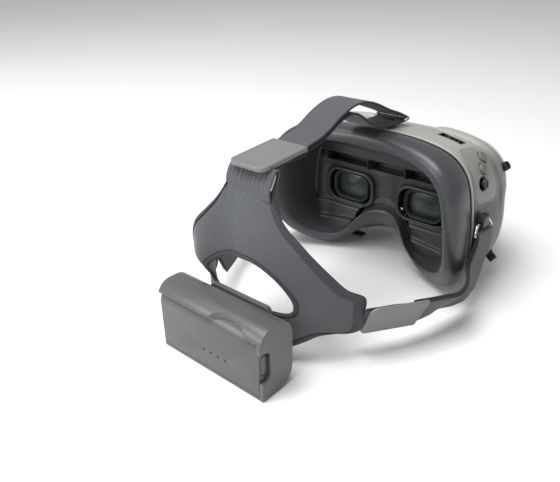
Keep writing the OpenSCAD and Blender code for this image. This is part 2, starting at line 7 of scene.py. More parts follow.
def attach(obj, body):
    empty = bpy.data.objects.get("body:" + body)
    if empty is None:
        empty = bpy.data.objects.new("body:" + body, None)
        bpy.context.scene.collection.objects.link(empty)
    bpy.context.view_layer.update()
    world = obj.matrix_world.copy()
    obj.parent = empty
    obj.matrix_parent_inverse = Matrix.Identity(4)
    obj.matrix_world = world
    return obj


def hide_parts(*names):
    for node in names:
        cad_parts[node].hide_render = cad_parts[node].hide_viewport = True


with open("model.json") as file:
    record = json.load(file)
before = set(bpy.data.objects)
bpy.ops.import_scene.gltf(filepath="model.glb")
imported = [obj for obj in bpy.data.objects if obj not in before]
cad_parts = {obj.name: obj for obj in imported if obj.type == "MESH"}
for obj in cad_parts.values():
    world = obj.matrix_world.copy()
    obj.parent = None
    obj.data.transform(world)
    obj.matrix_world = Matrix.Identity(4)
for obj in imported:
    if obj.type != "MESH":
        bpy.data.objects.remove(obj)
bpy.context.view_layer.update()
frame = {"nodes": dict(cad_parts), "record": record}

SC = bpy.context.scene
NODES = frame["nodes"]
OY = -56.5            # lens plane to row frame, mm
rng = np.random.default_rng(7)

# ------------------------------------------------------------------ materials
def nd(nt, kind, **kw):
    n = nt.nodes.new(kind)
    for k, v in kw.items():
        setattr(n, k, v)
    return n

def material(name, col, rough=.5, metal=0.0, var=.06, vscale=45, bump=.15, bscale=900, bdist=.0001,
             rvar=.08, coat=0.0, coat_rough=.2, sheen=0.0, sheen_rough=.5, spec=.5, ior=1.5, trans=0.0,
             kind="grain", painted_shade=None):
    m = bpy.data.materials.new(name)
    m.use_nodes = True
    nt = m.node_tree
    bs = nt.nodes["Principled BSDF"]
    L = nt.links.new
    tc = nd(nt, "ShaderNodeTexCoord")
    n1 = nd(nt, "ShaderNodeTexNoise"); n1.inputs["Scale"].default_value = vscale; n1.inputs["Detail"].default_value = 4
    L(tc.outputs["Object"], n1.inputs["Vector"])
    cr = nd(nt, "ShaderNodeValToRGB")
    lo = [c * (1 - var) for c in col]; hi = [min(1, c * (1 + var)) for c in col]
    cr.color_ramp.elements[0].position = .3; cr.color_ramp.elements[0].color = (*lo, 1)
    cr.color_ramp.elements[1].position = .7; cr.color_ramp.elements[1].color = (*hi, 1)
    L(n1.outputs["Fac"], cr.inputs["Fac"])
    colour = cr.outputs["Color"]
    # painted shade: the base colour is mixed toward a darker grey by a per-vertex weight, darkening the lower part of
    # the shell
    if painted_shade is not None:
        ta = nd(nt, "ShaderNodeAttribute"); ta.attribute_name = "painted_shade"
        tm = nd(nt, "ShaderNodeMix"); tm.data_type = "RGBA"; tm.blend_type = "MIX"
        L(ta.outputs["Fac"], tm.inputs[0]); L(colour, tm.inputs[6]); tm.inputs[7].default_value = (*painted_shade, 1)
        colour = tm.outputs[2]
    rr = nd(nt, "ShaderNodeMapRange")
    rr.inputs["To Min"].default_value = max(.02, rough - rvar); rr.inputs["To Max"].default_value = min(1, rough + rvar)
    n3 = nd(nt, "ShaderNodeTexNoise"); n3.inputs["Scale"].default_value = vscale * 3.1; n3.inputs["Detail"].default_value = 3
    L(tc.outputs["Object"], n3.inputs["Vector"])
    L(n3.outputs["Fac"], rr.inputs["Value"]); L(rr.outputs["Result"], bs.inputs["Roughness"])
    height = None
    if kind == "grain":
        n2 = nd(nt, "ShaderNodeTexNoise"); n2.inputs["Scale"].default_value = bscale; n2.inputs["Detail"].default_value = 2
        L(tc.outputs["Object"], n2.inputs["Vector"]); height = n2.outputs["Fac"]
    elif kind == "spark":
        v = nd(nt, "ShaderNodeTexVoronoi"); v.inputs["Scale"].default_value = bscale
        L(tc.outputs["Object"], v.inputs["Vector"]); height = v.outputs["Distance"]
    elif kind == "brushed":
        mp = nd(nt, "ShaderNodeMapping"); mp.inputs["Scale"].default_value = (1, 30, 30)
        L(tc.outputs["Object"], mp.inputs["Vector"])
        n2 = nd(nt, "ShaderNodeTexNoise"); n2.inputs["Scale"].default_value = bscale
        L(mp.outputs["Vector"], n2.inputs["Vector"]); height = n2.outputs["Fac"]
    elif kind in ("weave", "knit"):
        at = nd(nt, "ShaderNodeAttribute"); at.attribute_name = "lay"
        sp = nd(nt, "ShaderNodeSeparateXYZ"); L(at.outputs["Vector"], sp.inputs["Vector"])
        pu, pv = (1.15, .62) if kind == "weave" else (.75, .75)
        def mth(op, a, b=None):
            x = nd(nt, "ShaderNodeMath"); x.operation = op
            for i, q in enumerate((a, b)):
                if q is None: continue
                if isinstance(q, (int, float)): x.inputs[i].default_value = q
                else: L(q, x.inputs[i])
            return x.outputs[0]
        v = mth("DIVIDE", sp.outputs["Y"], pv)
        row = mth("FLOOR", v)
        u = mth("ADD", mth("DIVIDE", sp.outputs["X"], pu), mth("MULTIPLY", row, .5))
        hu = mth("ABSOLUTE", mth("SINE", mth("MULTIPLY", u, math.pi)))
        hv = mth("ABSOLUTE", mth("SINE", mth("MULTIPLY", v, math.pi)))
        h = mth("MULTIPLY", mth("POWER", hu, .6), mth("POWER", hv, .5))
        n2 = nd(nt, "ShaderNodeTexNoise"); n2.inputs["Scale"].default_value = 2600; n2.inputs["Detail"].default_value = 3
        L(tc.outputs["Object"], n2.inputs["Vector"])
        height = mth("ADD", h, mth("MULTIPLY", n2.outputs["Fac"], .5))
        # painted shade: the colour is darkened to half in the gaps between the threads, where the weave height h is low
        mx = nd(nt, "ShaderNodeMix"); mx.data_type = "RGBA"; mx.blend_type = "MULTIPLY"
        mx.inputs[0].default_value = 1.0
        rmp = nd(nt, "ShaderNodeValToRGB"); rmp.color_ramp.elements[0].color = (.5, .5, .52, 1); rmp.color_ramp.elements[1].color = (1, 1, 1, 1)
        rmp.color_ramp.elements[1].position = .75
        L(h, rmp.inputs["Fac"]); L(colour, mx.inputs[6]); L(rmp.outputs["Color"], mx.inputs[7])
        colour = mx.outputs[2]
    elif kind == "brush_knit":
        n2 = nd(nt, "ShaderNodeTexNoise"); n2.inputs["Scale"].default_value = 1500; n2.inputs["Detail"].default_value = 4
        v = nd(nt, "ShaderNodeTexVoronoi"); v.inputs["Scale"].default_value = 1100
        L(tc.outputs["Object"], n2.inputs["Vector"]); L(tc.outputs["Object"], v.inputs["Vector"])
        x = nd(nt, "ShaderNodeMath"); x.operation = "ADD"; L(n2.outputs["Fac"], x.inputs[0]); L(v.outputs["Distance"], x.inputs[1])
        height = x.outputs[0]
        rmp = nd(nt, "ShaderNodeValToRGB"); rmp.color_ramp.elements[0].color = (.8, .8, .8, 1); rmp.color_ramp.elements[0].position = .35
        rmp.color_ramp.elements[1].color = (1, 1, 1, 1); rmp.color_ramp.elements[1].position = .65
        mx = nd(nt, "ShaderNodeMix"); mx.data_type = "RGBA"; mx.blend_type = "MULTIPLY"; mx.inputs[0].default_value = 1.0
        L(n2.outputs["Fac"], rmp.inputs["Fac"]); L(colour, mx.inputs[6]); L(rmp.outputs["Color"], mx.inputs[7])
        colour = mx.outputs[2]
    L(colour, bs.inputs["Base Color"])
    if height is not None and bump > 0:
        b = nd(nt, "ShaderNodeBump"); b.inputs["Strength"].default_value = bump; b.inputs["Distance"].default_value = bdist
        L(height, b.inputs["Height"]); L(b.outputs["Normal"], bs.inputs["Normal"])
    bs.inputs["Metallic"].default_value = metal
    bs.inputs["Coat Weight"].default_value = coat
    bs.inputs["Coat Roughness"].default_value = coat_rough
    bs.inputs["Sheen Weight"].default_value = sheen
    bs.inputs["Sheen Roughness"].default_value = sheen_rough
    bs.inputs["Specular IOR Level"].default_value = spec
    bs.inputs["IOR"].default_value = ior
    bs.inputs["Transmission Weight"].default_value = trans
    return m

M = {
 # the dark greys given to the shell and the cover are painted shade for their lower parts
 "shell_light": material("shell_plastic", (.36, .36, .34), .4, var=.035, bump=.12, bscale=1400, bdist=.00008, painted_shade=(.075, .077, .08)),
 "cover_light": material("cover_plastic", (.56, .56, .54), .38, var=.035, bump=.12, bscale=1400, bdist=.00008, painted_shade=(.12, .12, .12)),
 "panel_grey": material("panel_plastic", (.25, .25, .235), .4, var=.04, bump=.12, bscale=1400, bdist=.00006),
 "button_grey": material("button_plastic", (.15, .15, .145), .34, var=.04, bump=.08, bscale=1600, bdist=.00005),
 "black_gloss": material("gloss_black", (.012, .012, .014), .12, var=.05, bump=.02, bscale=200, bdist=.00005, coat=.5, coat_rough=.06),
 "black_matte": material("black_plastic", (.02, .02, .022), .45, var=.1, bump=.2, bscale=1500, bdist=.00008),
 "seam_trim": material("trim_plastic", (.4, .4, .39), .28, var=.04, bump=.08, bscale=1400, bdist=.00005),
 "mask_rubber": material("mask_skin", (.045, .047, .052), .36, var=.08, vscale=30, bump=.14, bscale=1700, bdist=.00006, sheen=.06, sheen_rough=.4),
 "faceplate_black": material("faceplate_plastic", (.033, .035, .039), .36, var=.08, bump=.18, bscale=1500, bdist=.00006),
 "steel": material("steel_plain", (.55, .55, .57), .32, metal=1, var=.05, kind="brushed", bump=.12, bscale=120, bdist=.00004),
 "lens_glass": material("lens_coated", (.032, .046, .043), .36, var=.05, bump=0, coat=.25, coat_rough=.12, rvar=.03, spec=.35),
 "display_glass": material("display_glass", (.02, .03, .03), .15, var=.05, bump=0),
 "circuit_board": material("board_green", (.02, .09, .05), .4, var=.12, bump=.2, bscale=500, bdist=.0001),
 "shield_metal": material("shield_tin", (.62, .62, .63), .35, metal=1, kind="brushed", bump=.1, bscale=90, bdist=.00004),
 "heat_sink_aluminium": material("sink_aluminium", (.6, .6, .62), .4, metal=1, kind="brushed", bump=.15, bscale=100, bdist=.00005),
 "brass_gold": material("antenna_brass", (.05, .048, .042), .35, metal=.7, var=.1, bump=.08, bscale=900, bdist=.00004),
 "link_red": material("link_red", (.3, .02, .015), .35, var=.06, bump=.05),
 "chrome_wire": material("chrome_wire", (.5, .5, .52), .2, metal=1, var=.03, bump=.04, bscale=500, bdist=.00003, rvar=.05),
 "webbing": material("strap_webbing", (.082, .084, .094), .8, var=.05, kind="weave", bump=.5, bdist=.0002, sheen=.15, sheen_rough=.5),
 "webbing_edge": material("strap_edge", (.03, .03, .037), .85, var=.1, kind="weave", bump=.5, bdist=.0002, sheen=.08),
 "tab_rubber": material("tab_rubber", (.17, .172, .176), .5, var=.05, bump=.2, bscale=1500, bdist=.00008, sheen=.1),
 "pad_fabric": material("pad_cloth", (.085, .09, .097), .78, var=.06, vscale=25, kind="brush_knit", bump=.25, bdist=.0001, sheen=.2, sheen_rough=.45),
 "pad_binding": material("pad_binding", (.05, .053, .06), .8, var=.08, kind="knit", bump=.4, bdist=.00014, sheen=.12),
 "battery_plastic": material("battery_plastic", (.085, .087, .089), .33, var=.04, kind="spark", bump=.12, bscale=1500, bdist=.00004, spec=.5),
 "holder_plastic": material("holder_plastic", (.1, .101, .103), .36, var=.04, kind="spark", bump=.12, bscale=1500, bdist=.00004),
 "cell_wrap": material("cell_wrap", (.03, .09, .25), .3, var=.06, bump=.05),
 "light_guide": material("light_guide", (.02, .02, .02), .25, var=.1, bump=.03),
 "thread_dark": material("thread_dark", (.045, .046, .052), .8, var=.1, bump=.4, bscale=3000, bdist=.0001),
 # near-black surface put into gaps and holes: painted shade in the seam and under the controls
 "dark_gap": material("dark_gap", (.008, .008, .009), .8, var=.1, bump=.05),
}

# ------------------------------------------------------------------ mesh helpers
def P(v):
    v = np.asarray(v, float).reshape(-1, 3)
    return (v + np.array([0, OY, 0])) / 1000

def make(name, verts, faces, mats, body="goggles", angle=35, mi=None, clean=True, lay=None, painted_shade=None):
    me = bpy.data.meshes.new(name)
    me.from_pydata(P(verts).tolist(), [], [list(map(int, f)) for f in faces])
    for m in (mats if isinstance(mats, (list, tuple)) else [mats]):
        me.materials.append(M[m])
    if mi is not None:
        me.polygons.foreach_set("material_index", mi)
    if lay is not None:
        a = me.attributes.new("lay", "FLOAT_VECTOR", "POINT"); a.data.foreach_set("vector", np.asarray(lay, np.float32).ravel())
    # per-vertex weight of painted shade, read by the shell and cover materials
    if painted_shade is not None:
        a = me.attributes.new("painted_shade", "FLOAT", "POINT"); a.data.foreach_set("value", np.asarray(painted_shade, np.float32))
    if clean:
        bm = bmesh.new(); bm.from_mesh(me)
        bmesh.ops.recalc_face_normals(bm, faces=bm.faces); bm.to_mesh(me); bm.free()
    shade(me, angle)
    ob = bpy.data.objects.new(name, me)
    SC.collection.objects.link(ob)
    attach(ob, body)
    return ob

def shade(me, angle=35):
    me.polygons.foreach_set("use_smooth", [True] * len(me.polygons))
    if angle < 180:
        me.set_sharp_from_angle(angle=math.radians(angle))
    me.update()

def grid(S, wrap=True, ring=False, caps=False):
    """S: sections x points; wrap joins round each section, ring joins last section to first."""
    m, n = len(S), len(S[0])
    F = []
    for j in range(m if ring else m - 1):
        for i in range(n if wrap else n - 1):
            F.append([j * n + i, j * n + (i + 1) % n, ((j + 1) % m) * n + (i + 1) % n, ((j + 1) % m) * n + i])
    if caps:
        F.append(list(range(n))); F.append([(m - 1) * n + i for i in range(n)])
    return np.concatenate([np.asarray(s, float) for s in S]), F

def cutby(ob, cutters):
    """Difference of ob with closed cutter meshes (objects), applied to the mesh."""
    for c in cutters:
        mod = ob.modifiers.new("cut", "BOOLEAN"); mod.operation = "DIFFERENCE"; mod.object = c; mod.solver = "EXACT"
    bpy.context.view_layer.update()
    dg = bpy.context.evaluated_depsgraph_get()
    me = bpy.data.meshes.new_from_object(ob.evaluated_get(dg))
    old = ob.data; ob.modifiers.clear(); ob.data = me
    for c in cutters: bpy.data.objects.remove(c)
    me.name = ob.name
    return ob

def cutter(bm_fn):
    bm = bmesh.new(); bm_fn(bm)
    me = bpy.data.meshes.new("cut"); bm.to_mesh(me); bm.free()
    ob = bpy.data.objects.new("cut", me); SC.collection.objects.link(ob)
    return ob

def frame_to(n):
    n = Vector(n).normalized()
    return n.to_track_quat("Z", "Y").to_matrix().to_4x4()

def cyl_cut(p, n, r, h0, h1, seg=64):
    def f(bm):
        mat = Matrix.Translation(Vector(P(p)[0])) @ frame_to(n) @ Matrix.Translation((0, 0, (h0 + h1) / 2000))
        bmesh.ops.create_cone(bm, cap_ends=True, segments=seg, radius1=r / 1000, radius2=r / 1000, depth=(h1 - h0) / 1000, matrix=mat)
    return cutter(f)

def box_cut(c, size, rot=None):
    def f(bm):
        mat = Matrix.Translation(Vector(P(c)[0])) @ (rot or Matrix.Identity(4)) @ Matrix.Diagonal((size[0] / 1000, size[1] / 1000, size[2] / 1000, 1))
        bmesh.ops.create_cube(bm, size=1, matrix=mat)
    return cutter(f)

def rr_pts(w, h, r, k=10):
    """Rounded rectangle, half sizes."""
    out = []
    for cx, cy, a0 in ((w - r, h - r, 0), (-(w - r), h - r, 90), (-(w - r), -(h - r), 180), (w - r, -(h - r), 270)):
        for i in range(k + 1):
            a = math.radians(a0 + 90 * i / k); out.append((cx + r * math.cos(a), cy + r * math.sin(a)))
    return np.array(out)

def cat(p, q, r, s, t):
    return .5 * ((2 * q) + (r - p) * t + (2 * p - 5 * q + 4 * r - s) * t * t + (3 * q - p - 3 * r + s) * t ** 3)

def closed_cr(p, s):
    p = np.asarray(p, float); n = len(p)
    return np.array([cat(p[(i - 1) % n], p[i], p[(i + 1) % n], p[(i + 2) % n], k / s) for i in range(n) for k in range(s)])

def open_cr(p, s):
    p = np.asarray(p, float); n = len(p)
    q = [cat(p[max(0, i - 1)], p[i], p[i + 1], p[min(n - 1, i + 2)], k / s) for i in range(n - 1) for k in range(s)]
    return np.array(q + [p[-1]])

def herm(ts, rows, t):
    """Smooth curve through rows at parameters ts (non-uniform)."""
    ts = np.asarray(ts, float); rows = np.asarray(rows, float)
    i = int(np.clip(np.searchsorted(ts, t, side="right") - 1, 0, len(ts) - 2))
    def tan(k):
        if k == 0: return (rows[1] - rows[0]) / (ts[1] - ts[0])
        if k == len(ts) - 1: return (rows[-1] - rows[-2]) / (ts[-1] - ts[-2])
        return (rows[k + 1] - rows[k - 1]) / (ts[k + 1] - ts[k - 1])
    h = ts[i + 1] - ts[i]; x = (t - ts[i]) / h
    return ((2 * x ** 3 - 3 * x ** 2 + 1) * rows[i] + (x ** 3 - 2 * x ** 2 + x) * h * tan(i)
            + (-2 * x ** 3 + 3 * x ** 2) * rows[i + 1] + (x ** 3 - x ** 2) * h * tan(i + 1))

def sm(a, b, x):
    x = np.clip((np.asarray(x, float) - a) / (b - a), 0, 1); return x * x * (3 - 2 * x)

def tube(name, pts, r, mat, closed=False, body="goggles", k=14, caps=True):
    pts = np.asarray(pts, float); n = len(pts)
    T = np.gradient(pts, axis=0) if not closed else (np.roll(pts, -1, 0) - np.roll(pts, 1, 0))
    T /= np.linalg.norm(T, axis=1)[:, None]
    u = np.cross(T[0], [0, 0, 1.0]);
    if np.linalg.norm(u) < .1: u = np.cross(T[0], [1.0, 0, 0])
    S = []
    for i in range(n):
        u = u - T[i] * (u @ T[i]); u /= np.linalg.norm(u); v = np.cross(T[i], u)
        rr = r[i] if hasattr(r, "__len__") else r
        S.append([pts[i] + rr * (math.cos(a) * u + math.sin(a) * v) for a in np.linspace(0, 2 * math.pi, k, endpoint=False)])
    V, F = grid(S, True, closed, caps and not closed)
    return make(name, V, F, mat, body, 50)

def lathe(name, prof, p, n, mat, body="goggles", seg=48, replaces=(), angle=35):
    """prof: (r, h) pairs from the axis outward and back to the axis; p mm point, n axis."""
    n = np.array(n, float); n /= np.linalg.norm(n)
    a = np.cross(n, [0, 0, 1.0]) if abs(n[2]) < .9 else np.cross(n, [1.0, 0, 0]); a /= np.linalg.norm(a); b = np.cross(n, a)
    V, F = [], []
    for r, h in prof:
        for k in range(seg):
            t = 2 * math.pi * k / seg; V.append(np.array(p) + n * h + max(r, 1e-3) * (math.cos(t) * a + math.sin(t) * b))
    m = len(prof)
    for j in range(m - 1):
        for k in range(seg): F.append([j * seg + k, j * seg + (k + 1) % seg, (j + 1) * seg + (k + 1) % seg, (j + 1) * seg + k])
    ob = make(name, V, F, mat, body, angle)
    bm = bmesh.new(); bm.from_mesh(ob.data); bmesh.ops.remove_doubles(bm, verts=bm.verts, dist=5e-6); bm.to_mesh(ob.data); bm.free(); shade(ob.data, angle)
    if replaces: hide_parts(*replaces)
    return ob

def soften(node, w=.4, seg=3, angle=32, planar=.6, mat=None):
    """Rounded edges on a CAD node through modifiers, and its material."""
    o = NODES[node]
    if mat: o.data.materials.clear(); o.data.materials.append(M[mat])
    wd = o.modifiers.new("weld", "WELD"); wd.merge_threshold = 3e-6
    d = o.modifiers.new("flat", "DECIMATE"); d.decimate_type = "DISSOLVE"; d.angle_limit = math.radians(planar)
    b = o.modifiers.new("soft", "BEVEL"); b.width = w / 1000; b.segments = seg; b.limit_method = "ANGLE"; b.angle_limit = math.radians(angle)
    b.harden_normals = True; b.use_clamp_overlap = True; b.miter_outer = "MITER_ARC"
    shade(o.data, 32)
    return o

# ------------------------------------------------------------------ goggle outline functions (as in the CAD)
half = [[0,1,19,37,0],[.25,.998,19,38,0],[.48,.985,19,40.5,0],[.65,.96,19,43,0],[.78,.92,19,45.5,0],[.88,.85,19,47,0],
  [.94,.76,19,48,0],[.975,.63,19,48,0],[.995,.5,19,47,0],[1,.37,19,45,0],[.98,.24,17,41,0],[.91,.12,13,34,0],
  [.79,.045,8,26,0],[.64,.012,4,19,0],[.5,.03,1,15,0],[.4,.1,0,13,.5],[.325,.19,-2,12,1],[.24,.27,-5,9,1],[.13,.325,-8,5,1],[0,.345,-9,3,1]]
loop = half + [[-a[0], a[1], a[2], a[3], a[4]] for a in half[-2:0:-1]]
K8 = 8
LP = closed_cr(loop, K8)
JY = -28.0
SW, ST, WALL, FY = 79.0, 110.0, 2.2, -74.5
def xz(w, zt, zb, nf, L=LP):
    return L[:, 0] * w, zb + (zt - zb) * L[:, 1] * (1 + (nf - 1) * L[:, 4])
def sec(w, zt, zb, nf, y, L=LP):
    x, z = xz(w, zt, zb, nf, L); y = y * np.ones(len(L)); return np.stack([x, y, z], 1)
def sec_t(w, zt, zb, nf, t, dy=0, L=LP): return sec(w, zt, zb, nf, L[:, 2] + t * (JY - L[:, 2]) + dy, L)
def sec_r(w, zt, zb, nf, t, dy=0, L=LP): return sec(w, zt, zb, nf, L[:, 2] + 1.4 + t * (L[:, 3] - L[:, 2] - 1.4) + dy, L)

HT = [0, .2, .5, .78, 1]
HS = [[79, 110, 3, .68], [80.5, 109.6, 3, .56], [82, 108, 3.4, .41], [82, 105.5, 4.5, .28], [80.5, 102.5, 6.5, .20]]
FT = [-28, -42, -55, -65.5, -72, -74.5]
FS = [[80.5, 102.5, 6.5, .20], [75.3, 98.3, 9, .21], [69, 93, 13, .24], [59, 86, 18, .26], [46, 77, 27, .3], [38, 71, 33, .25]]
ALLT = [19 - 47 * t for t in HT] + FT[1:]
ALLR = HS + FS[1:]
def row_t(t):
    """Section parameters at joint fraction t (0 seam, 1 joint), smooth on into the cover."""
    return herm([-a for a in ALLT], ALLR, -(19 - 47 * t))
def row_y(y):
    return herm([-a for a in ALLT], ALLR, -y)

seat = np.array([[-68.4, -3.6, 96.4], [-72.7, 3.2, 91.4], [-76.1, 7, 83]])
dirs = np.array([[-.68, 0, .73], [-.86, 0, .5], [-.95, 0, .31]]); dirs /= np.linalg.norm(dirs, axis=1)[:, None]
mir = lambda v: np.array([-v[0], v[1], v[2]])

def hood(S, t=None):
    """Raised front part of the housing: a step up along the line t=.78, fading to the cover, the sides and the middle."""
    x, y, z = S[:, 0], S[:, 1], S[:, 2]
    tt = np.full(len(S), t) if t is not None else np.full(len(S), 1.0)
    a = sm(.765, .80, tt) * (1 - sm(30, 56, -y)) * sm(24, 29, np.abs(x)) * sm(58, 72, z) * (2.9 - 1.5 * sm(88, 74, z))
    n = np.stack([x / 80, 0 * x, np.maximum(z - 52, 0) / 50], 1); n /= np.maximum(np.linalg.norm(n, axis=1), 1e-6)[:, None]
    return S + n * a[:, None]

# ---- rear housing
ts = sorted(set([0.004, .012, .03, .06, .1, .15, .2, .26, .32, .38, .44, .5, .56, .62, .67, .71, .74, .755, .765, .775, .785, .795, .805, .83, .87, .91, .95, .985, .998]))
outer = []
for t in ts:
    r = row_t(t); e = .55 * (1 - sm(0, .03, t)) + .35 * sm(.97, 1, t)
    outer.append(hood(sec_t(r[0] - e, r[1] - e, r[2] + e, r[3], t), t))
inner = [sec_t(h[0] - WALL, h[1] - WALL, h[2] + WALL, h[3] * 1.09, t) for h, t in zip([row_t(t) for t in (0.004, .2, .5, .78, .998)], (0.004, .2, .5, .78, .998))]
V, F = grid(outer + inner[::-1], True, True)
Va = np.asarray(V); tt_ = np.tile(np.concatenate([ts, [.99, .78, .5, .2, 0]])[:, None], (1, len(LP))).ravel()
# painted shade: weight rises from 0 above z 106 mm to 1 below z 62 mm, darkening the lower housing
painted_shade = sm(106, 88, Va[:, 2]) * .6 + sm(80, 62, Va[:, 2]) * .4
housing = make("housing_shell", V, F, "shell_light", painted_shade=np.clip(painted_shade, 0, 1))
cuts = []
for i in range(3): cuts.append(cyl_cut(seat[i], dirs[i], 4.15 if i < 2 else 4.9, -8, 8))
for i in range(2): cuts.append(cyl_cut(mir(seat[i]), mir(dirs[i]), 4.15, -8, 8))
R = frame_to(mir(dirs[2]))
cuts.append(box_cut(mir(seat[2]), (9.2, 5.2, 16), R))
for s in (-1, 1):
    cuts.append(box_cut((s * 45.5, -3.6, 103.4), (19, 8.4, 24), Matrix.Rotation(math.radians(s * 12), 4, "Y")))
    cuts.append(box_cut((s * 32, -9.4, 10), (13.4, 5.4, 22)))
cuts.append(box_cut((82, -11.6, 38), (20, 22, 18)))
cutby(housing, cuts); shade(housing.data, 28)
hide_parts("rear_housing")

# ---- front cover
ys = [-28.15, -28.6, -29.5, -31.5, -34, -37, -40, -43, -46, -49, -52, -55, -58, -61, -63.5, -65.5, -67.5, -69.3, -70.8, -72, -73, -73.8, -74.3, -74.5]
outer = []
for y in ys:
    r = row_y(y); e = .4 * (1 - sm(28.1, 29.3, -y))
    outer.append(hood(sec(r[0] - e, r[1] - e, r[2] + e, r[3], y)))
last = outer[-1]; c0 = np.array([0, FY, 52.0])
cap = [c0 + (last - c0) * f for f in (.85, .6, .3)]
V, F = grid(outer + cap + [sec(r2[0] - WALL, r2[1] - WALL, r2[2] + WALL, r2[3] * 1.09, y2) for y2, r2 in [(q, row_y(q)) for q in (-72.2, -65.5, -55, -42, -28.2)]], True, True)
# close: the cap ends in a small loop joined by the ring to the inner wall; make the cap its own fan
nL = len(LP); nO = len(outer) + len(cap)
V1, F1 = grid(outer + cap, True, False)
cen = len(V1); V1 = np.vstack([V1, c0]); F1 += [[(nO - 1) * nL + i, (nO - 1) * nL + (i + 1) % nL, cen] for i in range(nL)]
inn = [sec(r2[0] - WALL, r2[1] - WALL, r2[2] + WALL, r2[3] * 1.09, y2) for y2, r2 in [(q, row_y(q)) for q in (-28.2, -42, -55, -65.5, -72.2)]]
c1 = np.array([0, -72.2, 52.0]); inn += [c1 + (inn[-1] - c1) * f for f in (.6, .3)]
V2, F2 = grid(inn, True, False)
b = len(V1); cen2 = b + len(V2); V = np.vstack([V1, V2, c1])
F = F1 + [[i + b for i in f] for f in F2] + [[b + (len(inn) - 1) * nL + i, b + (len(inn) - 1) * nL + (i + 1) % nL, cen2] for i in range(nL)]
F += [[i, (i + 1) % nL, b + (i + 1) % nL, b + i] for i in range(nL)]
Va = np.asarray(V)
# painted shade: the cover colour darkens towards the bottom, from z 70 mm down to z 30 mm
cover = make("front_shell", V, F, "cover_light", painted_shade=np.clip(sm(70, 30, Va[:, 2]) * .95, 0, 1))
def rr_cut(w, h, r, c, y0, y1):
    pts = rr_pts(w, h, r)
    def f(bm):
        lo = [bm.verts.new(P((c[0] + x, y0, c[1] + z))[0]) for x, z in pts]; hi = [bm.verts.new(P((c[0] + x, y1, c[1] + z))[0]) for x, z in pts]
        bm.faces.new(lo); bm.faces.new(hi[::-1])
        for i in range(len(pts)): bm.faces.new([lo[i], hi[i], hi[(i + 1) % len(pts)], lo[(i + 1) % len(pts)]])
        bmesh.ops.recalc_face_normals(bm, faces=bm.faces)
    return cutter(f)
cutby(cover, [rr_cut(30.2, 14.2, 8, (0, 52), -80, -73.4), box_cut((0, -53, 20), (34.2, 17.8, 22))])
shade(cover.data, 28)
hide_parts("front_cover")
soften("visor_panel", .5, mat="black_gloss", angle=40)
soften("intake_grille", .3, mat="black_matte")

# ---- raised control panels with rounded corners
def panel(name, s, node):
    i0, i1 = 4 * K8 - 4, 7 * K8                                # outline range
    Ts = np.linspace(.07, .61, 36); I = np.arange(i0, i1 + 1, .5)
    Lf = np.array([cat(LP[int(i) - 1], LP[int(i)], LP[int(i) + 1], LP[int(i) + 2], i - int(i)) for i in I])
    rows = [row_t(t) for t in Ts]
    base = np.array([sec_t(r[0], r[1], r[2], r[3], t, L=Lf) for r, t in zip(rows, Ts)])     # T x I x 3
    du = np.concatenate([[0], np.cumsum(np.linalg.norm(np.diff(base[18], axis=0), axis=1))])
    dv = np.concatenate([[0], np.cumsum(np.linalg.norm(np.diff(base[:, len(I) // 2], axis=0), axis=1))])
    U, Vv = np.meshgrid(du - du[-1] / 2, dv - dv[-1] / 2)
    rad = 7.0; qx = np.abs(U) - (du[-1] / 2 - rad); qy = np.abs(Vv) - (dv[-1] / 2 - rad)
    d = -(np.hypot(np.maximum(qx, 0), np.maximum(qy, 0)) + np.minimum(np.maximum(qx, qy), 0) - rad)   # >0 inside
    o = -.5 + .95 * sm(.0, .9, d) - .25 * np.exp(-((d - 1.9) / .4) ** 2)
    n = np.cross(np.gradient(base, axis=0), np.gradient(base, axis=1)); n /= np.linalg.norm(n, axis=2)[:, :, None]
    if (n[18, len(I) // 2] @ np.array([1, 0, .4])) < 0: n = -n
    top = base + n * o[:, :, None]; bot = base - n * .9
    top[:, :, 0] *= s; bot[:, :, 0] *= s
    A, B = len(Ts), len(I)
    V = np.concatenate([top.reshape(-1, 3), bot.reshape(-1, 3)]); F = []
    for a in range(A - 1):
        for bb in range(B - 1):
            q = [a * B + bb, a * B + bb + 1, (a + 1) * B + bb + 1, (a + 1) * B + bb]; F.append(q); F.append([x + A * B for x in q[::-1]])
    edge = [(0, k) for k in range(B)] + [(k, B - 1) for k in range(1, A)] + [(A - 1, k) for k in range(B - 2, -1, -1)] + [(k, 0) for k in range(A - 2, 0, -1)]
    idx = [a * B + bb for a, bb in edge]
    for k in range(len(idx)):
        p, q = idx[k], idx[(k + 1) % len(idx)]; F.append([p, q, q + A * B, p + A * B])
    ob = make(name, V, F, "panel_grey")
    cs = []
    for i in range(2): cs.append(cyl_cut(seat[i] if s < 0 else mir(seat[i]), dirs[i] if s < 0 else mir(dirs[i]), 4.15, -8, 8))
    if s < 0: cs.append(cyl_cut(seat[2], dirs[2], 4.9, -8, 8))
    else: cs.append(box_cut(mir(seat[2]), (9.2, 5.2, 16), frame_to(mir(dirs[2]))))
    cutby(ob, cs); shade(ob.data, 28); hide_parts(node)
    return ob
panel("control_deck", -1, "control_panel")
panel("channel_deck", 1, "channel_panel")

# ---- trim bead at the seam
S = []
for a in np.linspace(0, 2 * math.pi, 12, endpoint=False):
    c, s_ = math.cos(a), math.sin(a)
    S.append(sec(SW - .1 + .8 * c, ST - .1 + .8 * c, 2.8 - .8 * c, .67, LP[:, 2] + .7 + .66 * s_))
V, F = grid(S, True, True)
trim = make("seam_trim_bead", V, F, "seam_trim", angle=180)
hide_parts("mask_carrier")
# near-black band set into the seam between housing and cushion: painted shade in the gap
S = [sec_t(SW - .9, ST - .9, 3.9, .67, 0, -.5), sec_t(SW - .9, ST - .9, 3.9, .67, 0, 1.6), sec_t(SW - 5, ST - 5, 8, .8, 0, 1.6), sec_t(SW - 5, ST - 5, 8, .8, 0, -.5)]
V, F = grid(S, True, True)
make("seam_shade_band", V, F, "dark_gap", angle=60)

